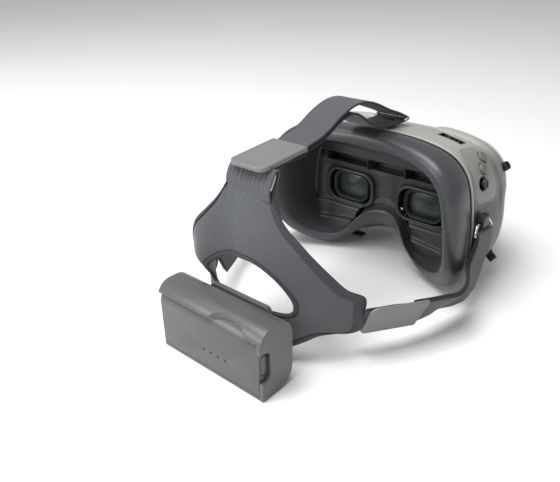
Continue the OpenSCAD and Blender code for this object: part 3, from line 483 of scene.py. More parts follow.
# ---- face cushion
LN = LP.copy(); LN[:, 0] *= 1 - .14 * LP[:, 4]                 # narrower, more pointed round the nose
def narrow(S, f): S = S.copy(); S[:, 0] *= 1 - .14 * f * LP[:, 4]; return S
rs = [sec_r(SW - .9, ST - .9, 2.6, .66, .02), sec_r(SW + 1.3, ST + .6, .05, .67, .25), sec_r(SW + 1.8, ST + .8, 1.8, .69, .6),
      sec_r(SW + .3, ST - 1, 4.8, .73, .88), sec_r(SW - 4, ST - 5, 8.5, .80, 1), sec_r(SW - 8.5, ST - 9, 12, .90, .93),
      narrow(sec_r(SW - 11, ST - 10.5, 12.5, 1.0, .6), .4), narrow(sec_r(SW - 12, ST - 11, 14, 1.10, .25), .8), narrow(sec(SW - 13, ST - 12, 15, 1.17, np.maximum(.1, LP[:, 2] * .2 - 1)), 1), narrow(sec(SW - 14.6, ST - 13.4, 16.6, 1.235, np.maximum(.1, LP[:, 2] * .2 - 1) - .6), 1)]
rs = np.array(rs)
fine = []
for j in range(len(rs) - 1):
    for k in range(6):
        fine.append(cat(rs[max(0, j - 1)], rs[j], rs[j + 1], rs[min(len(rs) - 1, j + 2)], k / 6))
fine.append(rs[-1])
fine = np.array(fine); fine[:, :, 2] = np.maximum(fine[:, :, 2], .05)
back = [sec(SW - 11.6, ST - 10.8, 13, 1.08, np.maximum(.1, LP[:, 2] * .2 - 1)), sec_r(SW - 7, ST - 7, 9.2, .92, 0, .02), sec_r(SW - 3, ST - 3, 5, .76, 0, .02)]
V, F = grid(list(fine) + back, True, True)
cushion = make("face_cushion", V, F, "mask_rubber", angle=70)
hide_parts("face_padding")

# ---- faceplate as a stepped relief
def faceplate():
    st = .8
    xs = np.arange(-70, 70.01, st); zs = np.arange(12, 103, st)
    L2 = closed_cr(loop, 4)
    px, pz = xz(SW - 9, ST - 8, 12.5, 1.22, L2)
    poly = np.stack([px, pz], 1)
    X, Z = np.meshgrid(xs, zs)
    inside = np.zeros(X.shape, bool); j = len(poly) - 1
    for i in range(len(poly)):
        xi, zi, xj, zj = *poly[i], *poly[j]
        c = ((zi > Z) != (zj > Z)) & (X < (xj - xi) * (Z - zi) / (zj - zi + 1e-12) + xi); inside ^= c; j = i
    ax = np.abs(X)
    Y = np.zeros(X.shape)
    Y += 2.6 * sm(77, 78.4, Z) + 3.2 * sm(85.4, 86.8, Z)                      # ledges above the eyes
    Y += 2.2 * sm(50, 62, ax) * (1 - sm(70, 76, Z))                            # sides rise to the cushion
    bridge = np.exp(-(ax / 9) ** 2) * (1 - sm(66, 76, Z)); Y += 1.6 * bridge
    low = 1 - sm(34, 37.5, Z); Y += 2.6 * low                                  # shelf below the lens frames
    low2 = 1 - sm(24, 26.5, Z + .12 * (ax - 32)); Y += 3.2 * low2
    for x0, x1 in ((-14.6, 14.6), (17.2, 55), (-55, -17.2)):
        q = sm(x0 - .4, x0 + .6, X) * (1 - sm(x1 - .6, x1 + .4, X)) * sm(70.4, 71.2, Z) * (1 - sm(76.4, 77.2, Z)); Y = Y * (1 - q) - 8.5 * q
    for s in (-1, 1): Y += 3.2 * np.exp(-((X - s * 15.9) / .9) ** 4) * sm(69.6, 70.6, Z) * (1 - sm(76, 78, Z))
    for s in (-1, 1):                                                          # dished surround of each lens frame
        qx = np.abs(X - s * 32) - 15; qz = np.abs(Z - 52) - 6
        d = np.hypot(np.maximum(qx, 0), np.maximum(qz, 0)) + np.minimum(np.maximum(qx, qz), 0) - 8
        Y = Y * sm(-1, 3.5, d); 
    hole = np.zeros(X.shape, bool)
    for s in (-1, 1):
        qx = np.abs(X - s * 32) - 11.3; qz = np.abs(Z - 52) - 3.5
        hole |= (np.hypot(np.maximum(qx, 0), np.maximum(qz, 0)) + np.minimum(np.maximum(qx, qz), 0) - 9) < 0
    keep = inside & ~hole
    nz, nx = X.shape; V = np.stack([X, Y, Z], 2).reshape(-1, 3)
    F = [[a * nx + b_, a * nx + b_ + 1, (a + 1) * nx + b_ + 1, (a + 1) * nx + b_] for a in range(nz - 1) for b_ in range(nx - 1)
         if keep[a, b_] and keep[a, b_ + 1] and keep[a + 1, b_ + 1] and keep[a + 1, b_]]
    used = sorted({i for f in F for i in f}); m = {v: k for k, v in enumerate(used)}
    F = [[m[i] for i in f] for f in F]; V = V[used]
    n0 = len(V); VB = V.copy(); VB[:, 1] -= 2.0
    cnt = {}
    for f in F:
        for k in range(4):
            e = (f[k], f[(k + 1) % 4]); cnt[e] = 1
    FB = [[i + n0 for i in f[::-1]] for f in F]
    FE = [[a, b_, b_ + n0, a + n0] for (a, b_) in cnt if (b_, a) not in cnt]
    ob = make("faceplate_relief", np.vstack([V, VB]), F + FB + FE, "faceplate_black", angle=50)
    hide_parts("faceplate")
faceplate()

# ---- lens frames, barrels and lenses
def frame_ring(name, s):
    prof = [(19.6, .2), (19.6, 2.2), (19.9, 2.8), (20.5, 3.1), (21.2, 3.0), (21.9, 2.5), (22.2, 1.6), (22.3, -.3), (19.6, -.3)]
    S = []
    for w, y in prof:
        q = rr_pts(w, w - 8.0 + .1, min(w - 10.6, 9.9), 10); S.append(np.stack([q[:, 0] + s * 32, np.full(len(q), y), q[:, 1] + 52], 1))
    V, F = grid(S, True, True)
    return make(name, V, F, "faceplate_black", angle=40)
fr = frame_ring("right_lens_frame", -1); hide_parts("lens_frames"); frame_ring("left_lens_frame", 1)
for s, side in ((-1, "right"), (1, "left")):
    NODES[side + "_optic_barrel"].data.materials.clear(); NODES[side + "_optic_barrel"].data.materials.append(M["black_matte"]); soften(side + "_optic_barrel", .35)
    prof = [(14.9, -.2), (15.4, .55), (15.9, .75), (16.3, .3), (16.35, -.9), (16.35, -5.2), (16.7, -5.7), (20.4, -5.9), (20.4, -6.5), (15.4, -6.5), (14.9, -4.9)]
    S = []
    for w, y in prof:
        q = rr_pts(w, w - 4.9, min(w - 7.4, 8.6), 10); S.append(np.stack([q[:, 0] + s * 32, np.full(len(q), y), q[:, 1] + 52], 1))
    V, F = grid(S, True, True); make(side + "_barrel_rim", V, F, "black_matte", side + "_optic", 40)
    S = []
    for f in (0.02, .12, .25, .4, .55, .7, .82, .91, .97, 1.0):
        q = rr_pts(14.3 * 1, 9.7, 6.8, 10) * f; S.append(np.stack([q[:, 0] + s * 32, -1.0 - 3.2 * (q[:, 0] ** 2 / 14 ** 2 + q[:, 1] ** 2 / 14 ** 2), q[:, 1] + 52], 1))
    q = rr_pts(14.3, 9.7, 6.8, 10); S.append(np.stack([q[:, 0] + s * 32, np.full(len(q), -4.8), q[:, 1] + 52], 1))
    V, F = grid(S, True, False, True)
    le = make(side + "_lens_face", V, F, "lens_glass", side + "_optic", 60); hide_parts(side + "_lens")

# ------------------------------------------------------------------ straps
def strap(name, C, W, w, off, t, mats=("webbing", "webbing_edge"), body="goggles", fall=None):
    """One layer of webbing: centre line C, width directions W, width w, offset off along the normal, thickness t."""
    C = np.asarray(C, float); n = len(C); T = np.gradient(C, axis=0); T /= np.linalg.norm(T, axis=1)[:, None]
    s = np.concatenate([[0], np.cumsum(np.linalg.norm(np.diff(C, axis=0), axis=1))])
    w = np.full(n, w) if not hasattr(w, "__len__") else w
    xs = np.concatenate([[-1, -.985, -.95], np.linspace(-.9, .9, 19), [.95, .985, 1]])
    V, mi, lay, F = [], [], [], []
    ring_n = 2 * len(xs)
    for i in range(n):
        u = W[i] - T[i] * (W[i] @ T[i]); u /= np.linalg.norm(u); v = np.cross(T[i], u)
        o = off[i] if hasattr(off, "__len__") else off
        for sgn, X in ((1, xs), (-1, xs[::-1])):
            for x in X:
                edge = 1 - .55 * max(0, (abs(x) - .95) / .05) ** 2 + .14 * math.exp(-((abs(x) - .93) / .03) ** 2)
                V.append(C[i] + u * x * w[i] / 2 + v * (o + sgn * t / 2 * edge)); lay.append((s[i], x * w[i] / 2, 0))
    for j in range(n - 1):
        for i in range(ring_n):
            F.append([j * ring_n + i, j * ring_n + (i + 1) % ring_n, (j + 1) * ring_n + (i + 1) % ring_n, (j + 1) * ring_n + i])
            k = i % len(xs); mi.append(1 if (k < 3 or k > len(xs) - 4) else 0)
    F.append(list(range(ring_n))); F.append([(n - 1) * ring_n + i for i in range(ring_n)]); mi += [1, 1]
    return make(name, V, F, mats, body, 50, mi=mi, lay=lay)

def stitches(name, pts, nrm, lift=.12, length=2.0, gap=1.1, r=.22, mat="thread_dark", body="goggles"):
    """A row of thread stitches lying on a surface along pts, with outward normals nrm."""
    pts = np.asarray(pts, float); nrm = np.asarray(nrm, float)
    s = np.concatenate([[0], np.cumsum(np.linalg.norm(np.diff(pts, axis=0), axis=1))])
    V, F = [], []
    a = 0.4
    while a + length < s[-1]:
        q = [np.array([np.interp(a + length * f, s, pts[:, k]) for k in range(3)]) for f in (0, .2, .5, .8, 1)]
        nn = np.array([np.interp(a + length / 2, s, nrm[:, k]) for k in range(3)]); nn /= np.linalg.norm(nn)
        d = q[-1] - q[0]; d /= max(1e-9, np.linalg.norm(d)); sd = np.cross(nn, d)
        b0 = len(V)
        for c, (f, hh) in zip(q, ((.35, -.25), (.9, .05), (1, .16), (.9, .05), (.35, -.25))):
            for k in range(6):
                t = 2 * math.pi * k / 6; V.append(c + nn * (lift + hh) + r * f * (math.cos(t) * sd + math.sin(t) * nn))
        for j in range(4):
            for k in range(6): F.append([b0 + j * 6 + k, b0 + j * 6 + (k + 1) % 6, b0 + (j + 1) * 6 + (k + 1) % 6, b0 + (j + 1) * 6 + k])
        F.append([b0 + k for k in range(6)]); F.append([b0 + 24 + k for k in range(6)])
        a += length + gap
    return make(name, V, F, mat, body, 60)

sp = [[-84.2,13.8,53.4],[-84.6,14.8,44.5],[-84.2,21.5,30],[-85.6,31,24.5],[-87.2,44,23.3],[-87.4,60,24.4],[-84.5,72,25],[-78.9,84.5,25],[-74.2,93,25.6],[-69.4,101.8,26.4],[-64.7,110.5,27.1],[-60,119.2,27.9]]
sw = [[0,1,.15],[0,.97,.25],[0,.91,.4],[-.1,.88,.45],[-.2,.85,.5],[-.33,.78,.53],[-.42,.4,.8],[-.43,.14,.89],[-.43,.14,.89],[-.43,.14,.89],[-.43,.14,.89],[-.43,.14,.89]]
SPc, SWc = open_cr(sp, 10), open_cr(sw, 10)
def pinch(n, k0, w0, w):
    return np.array([w * (1 - (1 - w0) * math.exp(-(i / k0) ** 2)) for i in range(n)])
for s, side in ((-1, "right"), (1, "left")):
    C, W = SPc.copy(), SWc.copy()
    if s > 0: C[:, 0] *= -1; W[:, 0] *= -1
    n = len(C); k = 78
    wv = pinch(n, 12, .90, 23.6)
    sp_ = .12 * np.sin(np.linspace(0, math.pi, k)) ** 2
    a = strap(side + "_strap_outer", C[:k], W[:k], wv[:k], .78 * s * -1 * np.ones(k) - s * sp_, 1.42)
    b_ = strap(side + "_strap_inner", C, W, wv, np.where(np.arange(n) < k, .78 * s, .78 * s * np.clip(1 - (np.arange(n) - k) / 14, 0, 1)), 1.42)
    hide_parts(side + "_strap")
    # the webbing turned over the loop's long bar
    C0 = C[0]; T0 = C[1] - C[0]; T0 /= np.linalg.norm(T0); u0 = W[0] - T0 * (W[0] @ T0); u0 /= np.linalg.norm(u0); v0 = np.cross(T0, u0)
    arc = [C0 + v0 * (.78 * math.cos(t)) - T0 * (.9 * math.sin(t)) for t in np.linspace(0, math.pi, 10)]
    S = []
    for p, t in zip(arc, np.linspace(0, math.pi, 10)):
        o = v0 * math.cos(t) - T0 * math.sin(t)
        S.append([p + u0 * x * wv[0] / 2 + o * (.71 * sg) for sg, X in ((1, np.linspace(-1, 1, 12)), (-1, np.linspace(1, -1, 12))) for x in X])
    V, F = grid(S, True, False, True); make(side + "_strap_fold", V, F, "webbing", angle=60, lay=[(i * .3, 0, 0) for i in range(len(V))])
    # tacking seam across the doubled webbing, below the loop
    for kk, nm in ((17, "a"), (21, "b")):
        Tt = C[kk + 1] - C[kk]; Tt /= np.linalg.norm(Tt); u = W[kk] - Tt * (W[kk] @ Tt); u /= np.linalg.norm(u); v = np.cross(Tt, u) * -s
        row = [C[kk] + u * x + v * 1.5 for x in np.linspace(-9.5, 9.5, 12)]
        stitches(f"{side}_tack_{nm}", row, [v] * 12, length=1.7, gap=.8)

tp = [[0,-2.5,113.6],[0,9,118.8],[0,22.6,124],[0,35,129.6],[0,46,133.6],[0,56,135.2],[0,66,134.4],[0,78,130.6],[0,88,125.9],[0,98,122.6],[0,109,120.6],[0,112,117.7],[0,130,117.2],[0,139,115.6],[0,143.6,112.6]]
TPc = open_cr(tp, 10); nT = len(TPc); WT = np.tile([1.0, 0, 0], (nT, 1)); k = 102
wv = np.full(nT, 23.8)
strap("top_strap_upper", TPc[:k], WT[:k], wv[:k], -.78 * np.ones(k) - .1 * np.sin(np.linspace(0, math.pi, k)) ** 2, 1.42)
tl = [[0,-3.6,113.0],[0,5,112.2],[0,15,112.6],[0,25,113.6],[0,34,115.4],[0,43,119.6],[0,52,125.6],[0,60,129.9],[0,68,131.2],[0,79,128.5],[0,88.6,124.1],[0,98,121],[0,109,119],[0,112,117.2],[0,130,117.1],[0,139,115.6],[0,143.6,112.6]]
TLc = open_cr(tl, 10); nL2 = len(TLc)
lo_s = strap("top_strap_lower", TLc, np.tile([1.0, 0, 0], (nL2, 1)), np.full(nL2, 23.4), np.zeros(nL2), 1.42)
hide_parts("top_strap")
C0 = TPc[0]; T0 = TPc[1] - TPc[0]; T0 /= np.linalg.norm(T0); v0 = np.cross(T0, [1.0, 0, 0])
S = []
for t in np.linspace(0, math.pi, 12):
    o = v0 * math.cos(t) - T0 * math.sin(t); p = C0 + v0 * .78 * math.cos(t) - T0 * .95 * math.sin(t)
    S.append([p + np.array([x * wv[0] / 2, 0, 0]) + o * .71 * sg for sg, X in ((1, np.linspace(-1, 1, 12)), (-1, np.linspace(1, -1, 12))) for x in X])
V, F = grid(S, True, False, True); make("top_strap_fold", V, F, "webbing", angle=60, lay=[(i * .3, 0, 0) for i in range(len(V))])
for kk, nm in ((14, "a"), (18, "b")):
    Tt = TPc[kk + 1] - TPc[kk]; Tt /= np.linalg.norm(Tt); v = np.cross(Tt, [1.0, 0, 0]); v = v if v[2] > 0 else -v
    stitches(f"top_tack_{nm}", [TPc[kk] + np.array([x, 0, 0]) + v * 1.5 for x in np.linspace(-9.5, 9.5, 12)], [v] * 12, length=1.7, gap=.8)

# ---- tabs: moulded grips with rounded corners, a rolled border and a shallow groove inside it
def tab(name, node, org, ex, ey, ez, half_l, half_w, th, rc, r0):
    """org centre of the outer face, ex along, ey across, ez outward. rc is the corner radius of the free end and r0 of the other."""
    ex, ey, ez = [np.array(v, float) / np.linalg.norm(v) for v in (ex, ey, ez)]
    def outline(inset):
        hl, hw = half_l - inset, half_w - inset; out = []
        for (sx_, sy_, r, a0) in ((1, 1, rc, 0), (-1, 1, r0, 90), (-1, -1, r0, 180), (1, -1, rc, 270)):
            rr_ = max(.3, r - inset)
            for i in range(9):
                a = math.radians(a0 + 90 * i / 8); out.append((sx_ * (hl - rr_) + rr_ * math.cos(a), sy_ * (hw - rr_) + rr_ * math.sin(a)))
        return np.array(out)
    lev = [(0, -th + .5), (.2, -th + .15), (.6, -th), (.6, -th), (0, -th + .5)]
    prof = [(.7, -th), (.2, -th + .2), (0, -th + .7), (0, -.75), (.2, -.25), (.75, -.02), (1.5, .0), (1.9, -.1), (2.15, -.22), (2.5, -.2), (4, -.12), (7, -.05), (10, 0)]
    S = [[org + ex * x + ey * y + ez * h for x, y in outline(i)] for i, h in prof]
    V, F = grid(S, True, False, True)
    ob = make(name, V, F, "tab_rubber", angle=60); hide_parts(node)
tabd = np.array([.47, .88, .08]); td = tabd / np.linalg.norm(tabd)
tw = np.array([-.43, .14, .89]); tw = tw - td * (tw @ td); tw /= np.linalg.norm(tw); tn = np.cross(td, tw)
# outward normal of the side tab points away from the head
for s, side in ((-1, "right"), (1, "left")):
    f = np.array([-s, 1, 1.0]) if s > 0 else np.array([1, 1, 1.0])
    o = np.array([-71, 101, 26.3]); nn = tn.copy()
    org = (o - tn * 2.2) if tn[0] < 0 and False else o
    out = tn if tn[0] < 0 else -tn
    org = o if out @ tn > 0 else o - tn * 2.2
    g = lambda v: v * (np.array([-1, 1, 1]) if s > 0 else 1)
    tab(side + "_grip_tab", side + "_tab", g(org), g(td), g(tw), g(out), 19.5, 13.5, 2.2, 5, 1.4)
a4 = math.radians(-4); ey = np.array([0, math.cos(a4), math.sin(a4)]); ez = np.array([0, -math.sin(a4), math.cos(a4)])
tab("top_grip_tab", "top_tab", np.array([0, 111.5 + 19.5, 121.5]), ey, np.array([1.0, 0, 0]), ez, 19.5, 13.5, 3.0, 5, 1.4)

# ------------------------------------------------------------------ back pad
po = [[0,113],[12,112.5],[15.5,108],[20,98],[27,89],[35,81],[43,71],[50,61],[56,51.5],[62,44.5],[62.3,34],[61.2,22.2],[53,22.3],[45,20.5],[37,15],[28,10],[14,8],[0,8]]
pin = [[0,63],[6,63],[12,61.5],[17,59],[22,55.5],[26,51.5],[29,47.5],[31,44],[32,41],[32,38.5],[31.5,36.5],[30,35],[28,34.3],[25,34],[20,34],[14,34],[7,34],[0,34]]
def closeup(h): return h + [[-a[0], a[1]] for a in h[-2:0:-1]]
def twist(x, z): return 12 * sm(4, 38, x) * sm(31, 56, z)
def head_y(x, z):
    zz = np.maximum(0, z - 70)
    return twist(x, z) + 157 - 17 * (zz / 50) ** 2 - 60 * (1 - np.sqrt(np.maximum(.02, 1 - (x / 68) ** 2)))
def pad():
    PO, PI = closed_cr(closeup(po), 14), closed_cr(closeup(pin), 14); n = len(PO)
    T = 5.0
    Lr = np.linalg.norm(PO - PI, axis=1)
    near = [0, .25, .7, 1.4, 2.3, 3.1, 3.5, 3.8, 4.2, 4.9, 6.2]
    mid = np.linspace(0, 1, 9)[1:-1]
    def prof(d):          # surface drop at distance d from an edge
        e = 1.55 * (1 - min(1, d / 1.35)) ** 2                      # rolled binding edge
        g = .95 * math.exp(-((d - 3.55) / .38) ** 2)                # seam beside the binding
        c = -.15 * math.exp(-((d - 1.9) / .8) ** 2)
        crown = -0.0
        return e + g + c
    S_out, S_in = [], []
    rails = []
    for q in near: rails.append(("i", q))
    for f in mid: rails.append(("m", f))
    for q in near[::-1]: rails.append(("o", q))
    for kind, q in rails:
        if kind == "i": f = q / Lr; d = np.full(n, q)
        elif kind == "o": f = 1 - q / Lr; d = np.full(n, q)
        else:
            f = (6.2 + q * (Lr - 12.4)) / Lr; d = np.minimum(f * Lr, Lr - f * Lr)
        p = PI * (1 - f[:, None]) + PO * f[:, None]
        x, z = p[:, 0], p[:, 1]; hy = head_y(x, z)
        nx = .55 * x / 40; nf = np.sqrt(1 + nx ** 2)
        drop = np.array([prof(dd) for dd in d])
        puff = .55 * (1 - np.exp(-np.maximum(0, d - 3.5) / 7))       # crowned field between the seams
        # soft puckers radiating from the top tab, and slight folds at the arms
        pk = .42 * np.sin(x * 1.25 + .7 * np.sin(z * .21)) * np.exp(-((z - 108) / 6.5) ** 2) * (np.abs(x) < 20)
        ripple = .14 * np.sin(x * .23 + z * .17) * np.sin(z * .11 - x * .05) * np.clip((d - 3) / 6, 0, 1)
        S_out.append(np.stack([x, hy - (drop - puff * 0 + .5 - puff - pk - ripple), z], 1))
        th = .9 + 1.3 * np.sqrt(np.minimum(1, d / 1.35)) + (T - 2.7) * sm(1.5, 13, d)
        S_in.append(np.stack([x, hy - (drop * .5 + .5 - puff) - th * nf, z], 1))
    S = S_out + S_in[::-1]
    V, F = grid(S, True, True)
    m = len(S); mi = []
    nr = len(rails)
    for j in range(m):
        jj = j if j < nr else 2 * nr - 1 - j
        jn = (j + 1) % m; jn = jn if jn < nr else 2 * nr - 1 - jn
        a = max(min(jj, nr - 1 - jj), min(jn, nr - 1 - jn))
        mi += [1 if a <= 6 else 0] * n
    Va = np.asarray(V)
    lay = np.stack([Va[:, 0], Va[:, 2], 0 * Va[:, 0]], 1)
    ob = make("back_pad_cushion", V, F, ("pad_fabric", "pad_binding"), mi=mi, angle=75, lay=lay)
    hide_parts("back_pad")
    for nm, S_, sgn in (("outer", S_out, 1), ("inner", S_in, -1)):
        for ed, ri in (("rim", nr - 1 - 4), ("opening", 4)):
            ln = S_[ri]; ln = np.vstack([ln, ln[:1]])
            t = np.gradient(ln, axis=0); other = S_[ri + 1 if ri < nr // 2 else ri - 1]; other = np.vstack([other, other[:1]]) - ln
            nn = np.cross(t, other); nn /= np.maximum(1e-9, np.linalg.norm(nn, axis=1))[:, None]
            nn = np.where((nn[:, 1] * sgn < 0)[:, None], -nn, nn)
            stitches(f"pad_stitch_{nm}_{ed}", ln, nn, lift=.05, length=2.1, gap=1.2, r=.2)
pad()

# ------------------------------------------------------------------ wire loops and small hardware
def rounded_path(pts, r, k=6, closed=True):
    pts = [np.array(p, float) for p in pts]; n = len(pts); out = []
    for i in range(n):
        a, b, c = pts[i - 1], pts[i], pts[(i + 1) % n]
        u, v = (a - b), (c - b); lu, lv = np.linalg.norm(u), np.linalg.norm(v); u /= lu; v /= lv
        rr_ = min(r, lu * .45, lv * .45)
        for t in np.linspace(0, 1, k + 1):
            out.append((1 - t) ** 2 * (b + u * rr_) + 2 * t * (1 - t) * b + t * t * (b + v * rr_))
        nxt = c - v * 0
        seg0, seg1 = b + v * rr_, c - v * min(r, lv * .45)
        for t in (.25, .5, .75): out.append(seg0 * (1 - t) + seg1 * t)
    return out
def rotm(ax, deg): return np.array(Matrix.Rotation(math.radians(deg), 3, ax))
for s, side in ((-1, "right"), (1, "left")):
    R_ = rotm("Y", -s * 10) @ rotm("Z", 90); o = np.array([s * 82.6, 13.6, 60])
    pts = [o + R_ @ np.array(p) for p in ((-8, 0, 0), (8, 0, 0), (13.2, 0, -6.5), (-13.2, 0, -6.5))]
    t_ = tube(side + "_wire_loop", rounded_path(pts, 2.4), 1.0, "chrome_wire", closed=True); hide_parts(side + "_loop")
R_ = rotm("X", -115); o = np.array([0, 4, 111])
t_ = tube("top_wire_loop", rounded_path([o + R_ @ np.array(p) for p in ((-8, 0, 0), (8, 0, 0), (13.3, 0, -7), (-13.3, 0, -7))], 2.2), 1.1, "chrome_wire", closed=True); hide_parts("top_loop")
a_, b_ = np.array([15.6, 142.4, 116]), np.array([15.6, 147.6, 107]); mx = np.array([-1, 1, 1])
t_ = tube("pad_wire_ring", rounded_path([a_ * mx, a_, b_, b_ * mx], 2.4), 1.05, "chrome_wire", closed=True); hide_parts("pad_ring")
# fabric sleeve that carries the ring, gathered onto the pad
path = open_cr([[0,149.0,101.5],[0,148.9,104],[0,148.8,107.2],[0,147.3,111.5],[0,144.9,115.2],[0,142.9,117.3],[0,140.7,117.0],[0,140.4,114.6],[0,141.8,111],[0,143.2,107.5]], 8)
Tn = np.gradient(path, axis=0); Tn /= np.linalg.norm(Tn, axis=1)[:, None]
xs_ = np.linspace(-1, 1, 90); S = []
for i, p in enumerate(path):
    nrm = np.cross(Tn[i], [1.0, 0, 0]); f_ = i / (len(path) - 1); hw = 16.9 - .4 * f_
    g = .34 * sm(105, 113, p[2]) if f_ < .5 else .1
    row = []
    for sgn, X in ((1, xs_), (-1, xs_[::-1])):
        for x in X:
            rip = g * math.sin(x * 38 + 1.6 * math.sin(x * 7)); e_ = .5 * (1 - .6 * max(0, (abs(x) - .94) / .06) ** 2)
            row.append(p + np.array([x * hw, 0, 0]) + nrm * (rip + sgn * e_))
    S.append(row)
V, F = grid(S, True, False, True)
Va = np.asarray(V); make("pad_top_sleeve", V, F, "pad_fabric", angle=70, lay=np.stack([Va[:, 0], Va[:, 2], 0 * Va[:, 0]], 1))
soften("strap_lugs", .5, mat="black_matte")

# buttons: domed caps
def cap_button(name, node, p, n, body, r=3.6, top=2.3, base=-3.6, mat="button_grey", dish=.25):
    prof = [(0, base), (r, base), (r, top - .8), (r - .12, top - .35), (r - .5, top - .05), (r - 1.0, top), (r * .55, top - dish * .7), (0, top - dish)]
    return lathe(name, prof, p, n, mat, body, 56, (node,), 40)
cap_button("record_cap", "record_button", seat[0], dirs[0], "record")
cap_button("back_cap", "back_button", seat[1], dirs[1], "back")
cap_button("channel_up_cap", "channel_up_button", mir(seat[0]), mir(dirs[0]), "channel_up")
cap_button("channel_down_cap", "channel_down_button", mir(seat[1]), mir(dirs[1]), "channel_down")
sb = seat[2] - 5 * dirs[2]
prof = [(0, -1), (1.2, -1), (1.2, 5.6), (1.5, 6.0), (3.0, 6.05), (3.2, 6.3), (3.2, 7.3), (3.0, 7.7), (2.7, 7.8), (2.3, 7.55), (1.2, 7.35), (0, 7.3)]
js = lathe("stick_top", prof, sb, dirs[2], "black_matte", "stick_cap", 40, ("joystick_cap",), 40)
V, F = [], []
for k in range(20):                        # knurled rim of the stick
    a = 2 * math.pi * k / 20; u = np.cross(dirs[2], [0, 1, 0]); u /= np.linalg.norm(u); v = np.cross(dirs[2], u)
    c = sb + dirs[2] * 6.8; o = math.cos(a) * u + math.sin(a) * v; tg = -math.sin(a) * u + math.cos(a) * v
    b0 = len(V)
    for h in (-.42, .42):
        V += [c + o * 3.12 + tg * .3 + dirs[2] * h, c + o * 3.42 + dirs[2] * h * .8, c + o * 3.12 - tg * .3 + dirs[2] * h]
    F += [[b0, b0 + 1, b0 + 4, b0 + 3], [b0 + 1, b0 + 2, b0 + 5, b0 + 4], [b0 + 2, b0, b0 + 3, b0 + 5], [b0, b0 + 2, b0 + 1], [b0 + 3, b0 + 4, b0 + 5]]
make("stick_knurl", V, F, "black_matte", "stick_cap", 30)
# near-black lining in the hole under each control: painted shade in the recess
for i, (p, n, b) in enumerate([(seat[0], dirs[0], 3.95), (seat[1], dirs[1], 3.95), (seat[2], dirs[2], 4.8), (mir(seat[0]), mir(dirs[0]), 3.95), (mir(seat[1]), mir(dirs[1]), 3.95)]):
    lathe(f"well_{i}", [(b * .5, -5.2), (b, -5.2), (b + .12, -1.2), (b + .02, -1.2), (b - .1, -5.0), (b * .5, -5.0)] + [(b * .5, -5.2)], p, n, "dark_gap", seg=40, angle=50)
# antenna sockets with thread turns
ant = np.array([[72.9, -23.6, 82.7], [73.6, -23.6, 20.5]]); antd = np.array([[.77, 0, .64], [.77, 0, -.64]]); antd /= np.linalg.norm(antd[0])
first = True
for sg in (1, -1):
    for k in (0, 1):
        p, n = ant[k].copy(), antd[k].copy()
        if sg < 0: p[0] *= -1; n[0] *= -1
        prof = [(0, .2), (3.0, .2), (3.0, 3.4)]
        for i in range(6): prof += [(3.15, 3.6 + i * .75), (3.15, 3.8 + i * .75), (2.85, 3.98 + i * .75), (2.85, 4.1 + i * .75)]
        prof += [(3.05, 8.3), (2.9, 8.75), (2.3, 8.75), (2.2, 7.2), (.6, 7.2), (.6, 8.5), (0, 8.5)]
        ob = lathe(f"antenna_socket_{sg + 1}{k}", prof, p, n, "brass_gold", seg=40, angle=30)
        V = []; u = np.cross(n, [0, 1.0, 0]); u /= np.linalg.norm(u); v = np.cross(n, u)
        S = [[p + n * h + r * (math.cos(a) * u + math.sin(a) * v) for a in np.radians(np.arange(0, 360, 60))] for h, r in ((.1, 3.9), (.4, 4.25), (2.9, 4.25), (3.3, 3.8))]
        V, F = grid(S, True, False, True); hexo = make(f"antenna_nut_{sg + 1}{k}", V, F, "brass_gold", angle=20)
        if first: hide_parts("antenna_jacks"); first = False

# ------------------------------------------------------------------ battery and holder: rounded CAD edges
soften("battery_holder", .8, 4, mat="holder_plastic")
soften("holder_plate", .6, 3, mat="holder_plastic")
soften("battery_case", 1.0, 4, mat="battery_plastic")
soften("battery_button", .35, 3, mat="holder_plastic")

# ------------------------------------------------------------------ finish of the other CAD nodes
slots = {r["node"]: r["material_slot"] for r in frame["record"]["subparts"]}
for n, o in NODES.items():
    if o.hide_render: continue
    if not o.data.materials or o.data.materials[0] is None or o.data.materials[0].name not in {m.name for m in M.values()}:
        o.data.materials.clear(); o.data.materials.append(M[slots[n]])
for n, w in (("port_panel", .4), ("audio_jack", .15), ("power_jack", .2), ("usb_port", .2), ("link_button", .2), ("air_vents", .2), ("channel_display", .25),
             ("right_ipd_slider", .3), ("left_ipd_slider", .3), ("joystick_gimbal", .15), ("joystick_rocker", .15), ("fan_housing", .3), ("main_board", .1),
             ("radio_shield", .3), ("heat_sink", .1), ("housing_screws", .15), ("holder_screws", .15), ("level_lights", .12), ("optic_rails", .15)):
    if n in NODES and not NODES[n].hide_render: soften(n, w, 2)

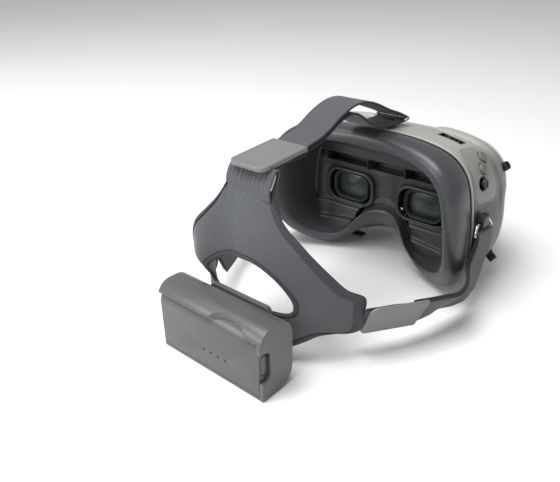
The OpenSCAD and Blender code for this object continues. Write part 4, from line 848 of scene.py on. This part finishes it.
# ------------------------------------------------------------------ stage
def soft_floor():
    me = bpy.data.meshes.new("floor"); s = 6.0
    me.from_pydata([(-s, -s, -.0004), (s, -s, -.0004), (s, s, -.0004), (-s, s, -.0004)], [], [(0, 1, 2, 3)]); me.materials.append(material("floor_paper", (.95, .95, .95), .9, var=.01, vscale=3, bump=.02, bscale=60, spec=.1))
    ob = bpy.data.objects.new("floor", me); SC.collection.objects.link(ob)
soft_floor()
def area(name, loc, target, size, power, col=(1, 1, 1)):
    l = bpy.data.lights.new(name, "AREA"); l.shape = "RECTANGLE"; l.size, l.size_y = size; l.energy = power; l.color = col
    o = bpy.data.objects.new(name, l); SC.collection.objects.link(o); o.location = loc
    o.rotation_mode = "QUATERNION"; o.rotation_quaternion = (Vector(target) - Vector(loc)).to_track_quat("-Z", "Y")
area("key_top", (.15, .45, 1.3), (0, 0, .05), (.8, .8), 18)
area("key_back", (.6, 1.2, .6), (0, 0, .06), (.7, .5), 8)
w = bpy.data.worlds.new("studio"); SC.world = w; w.use_nodes = True
w.node_tree.nodes["Background"].inputs[0].default_value = (1, 1, 1, 1); w.node_tree.nodes["Background"].inputs[1].default_value = .42

th, ph, ro, f = math.radians(41.6), math.radians(27.2), math.radians(-1.0), 604.9
back = Vector((-math.sin(th) * math.cos(ph), math.cos(th) * math.cos(ph), math.sin(ph))); fwd = -back
right = fwd.cross(Vector((0, 0, 1))).normalized(); up = right.cross(fwd)
r2 = math.cos(ro) * right + math.sin(ro) * up; u2 = -math.sin(ro) * right + math.cos(ro) * up
cam = bpy.data.cameras.new("cam"); cam.sensor_width = 36; cam.sensor_fit = "HORIZONTAL"; cam.lens = 36 * f / 560; cam.clip_start = .02; cam.clip_end = 30
co = bpy.data.objects.new("cam", cam); SC.collection.objects.link(co)
co.matrix_world = Matrix(((r2.x, u2.x, back.x, -.2211), (r2.y, u2.y, back.y, .3148), (r2.z, u2.z, back.z, .2330), (0, 0, 0, 1)))
SC.camera = co
try: SC.view_settings.view_transform = "Standard"
except Exception: pass
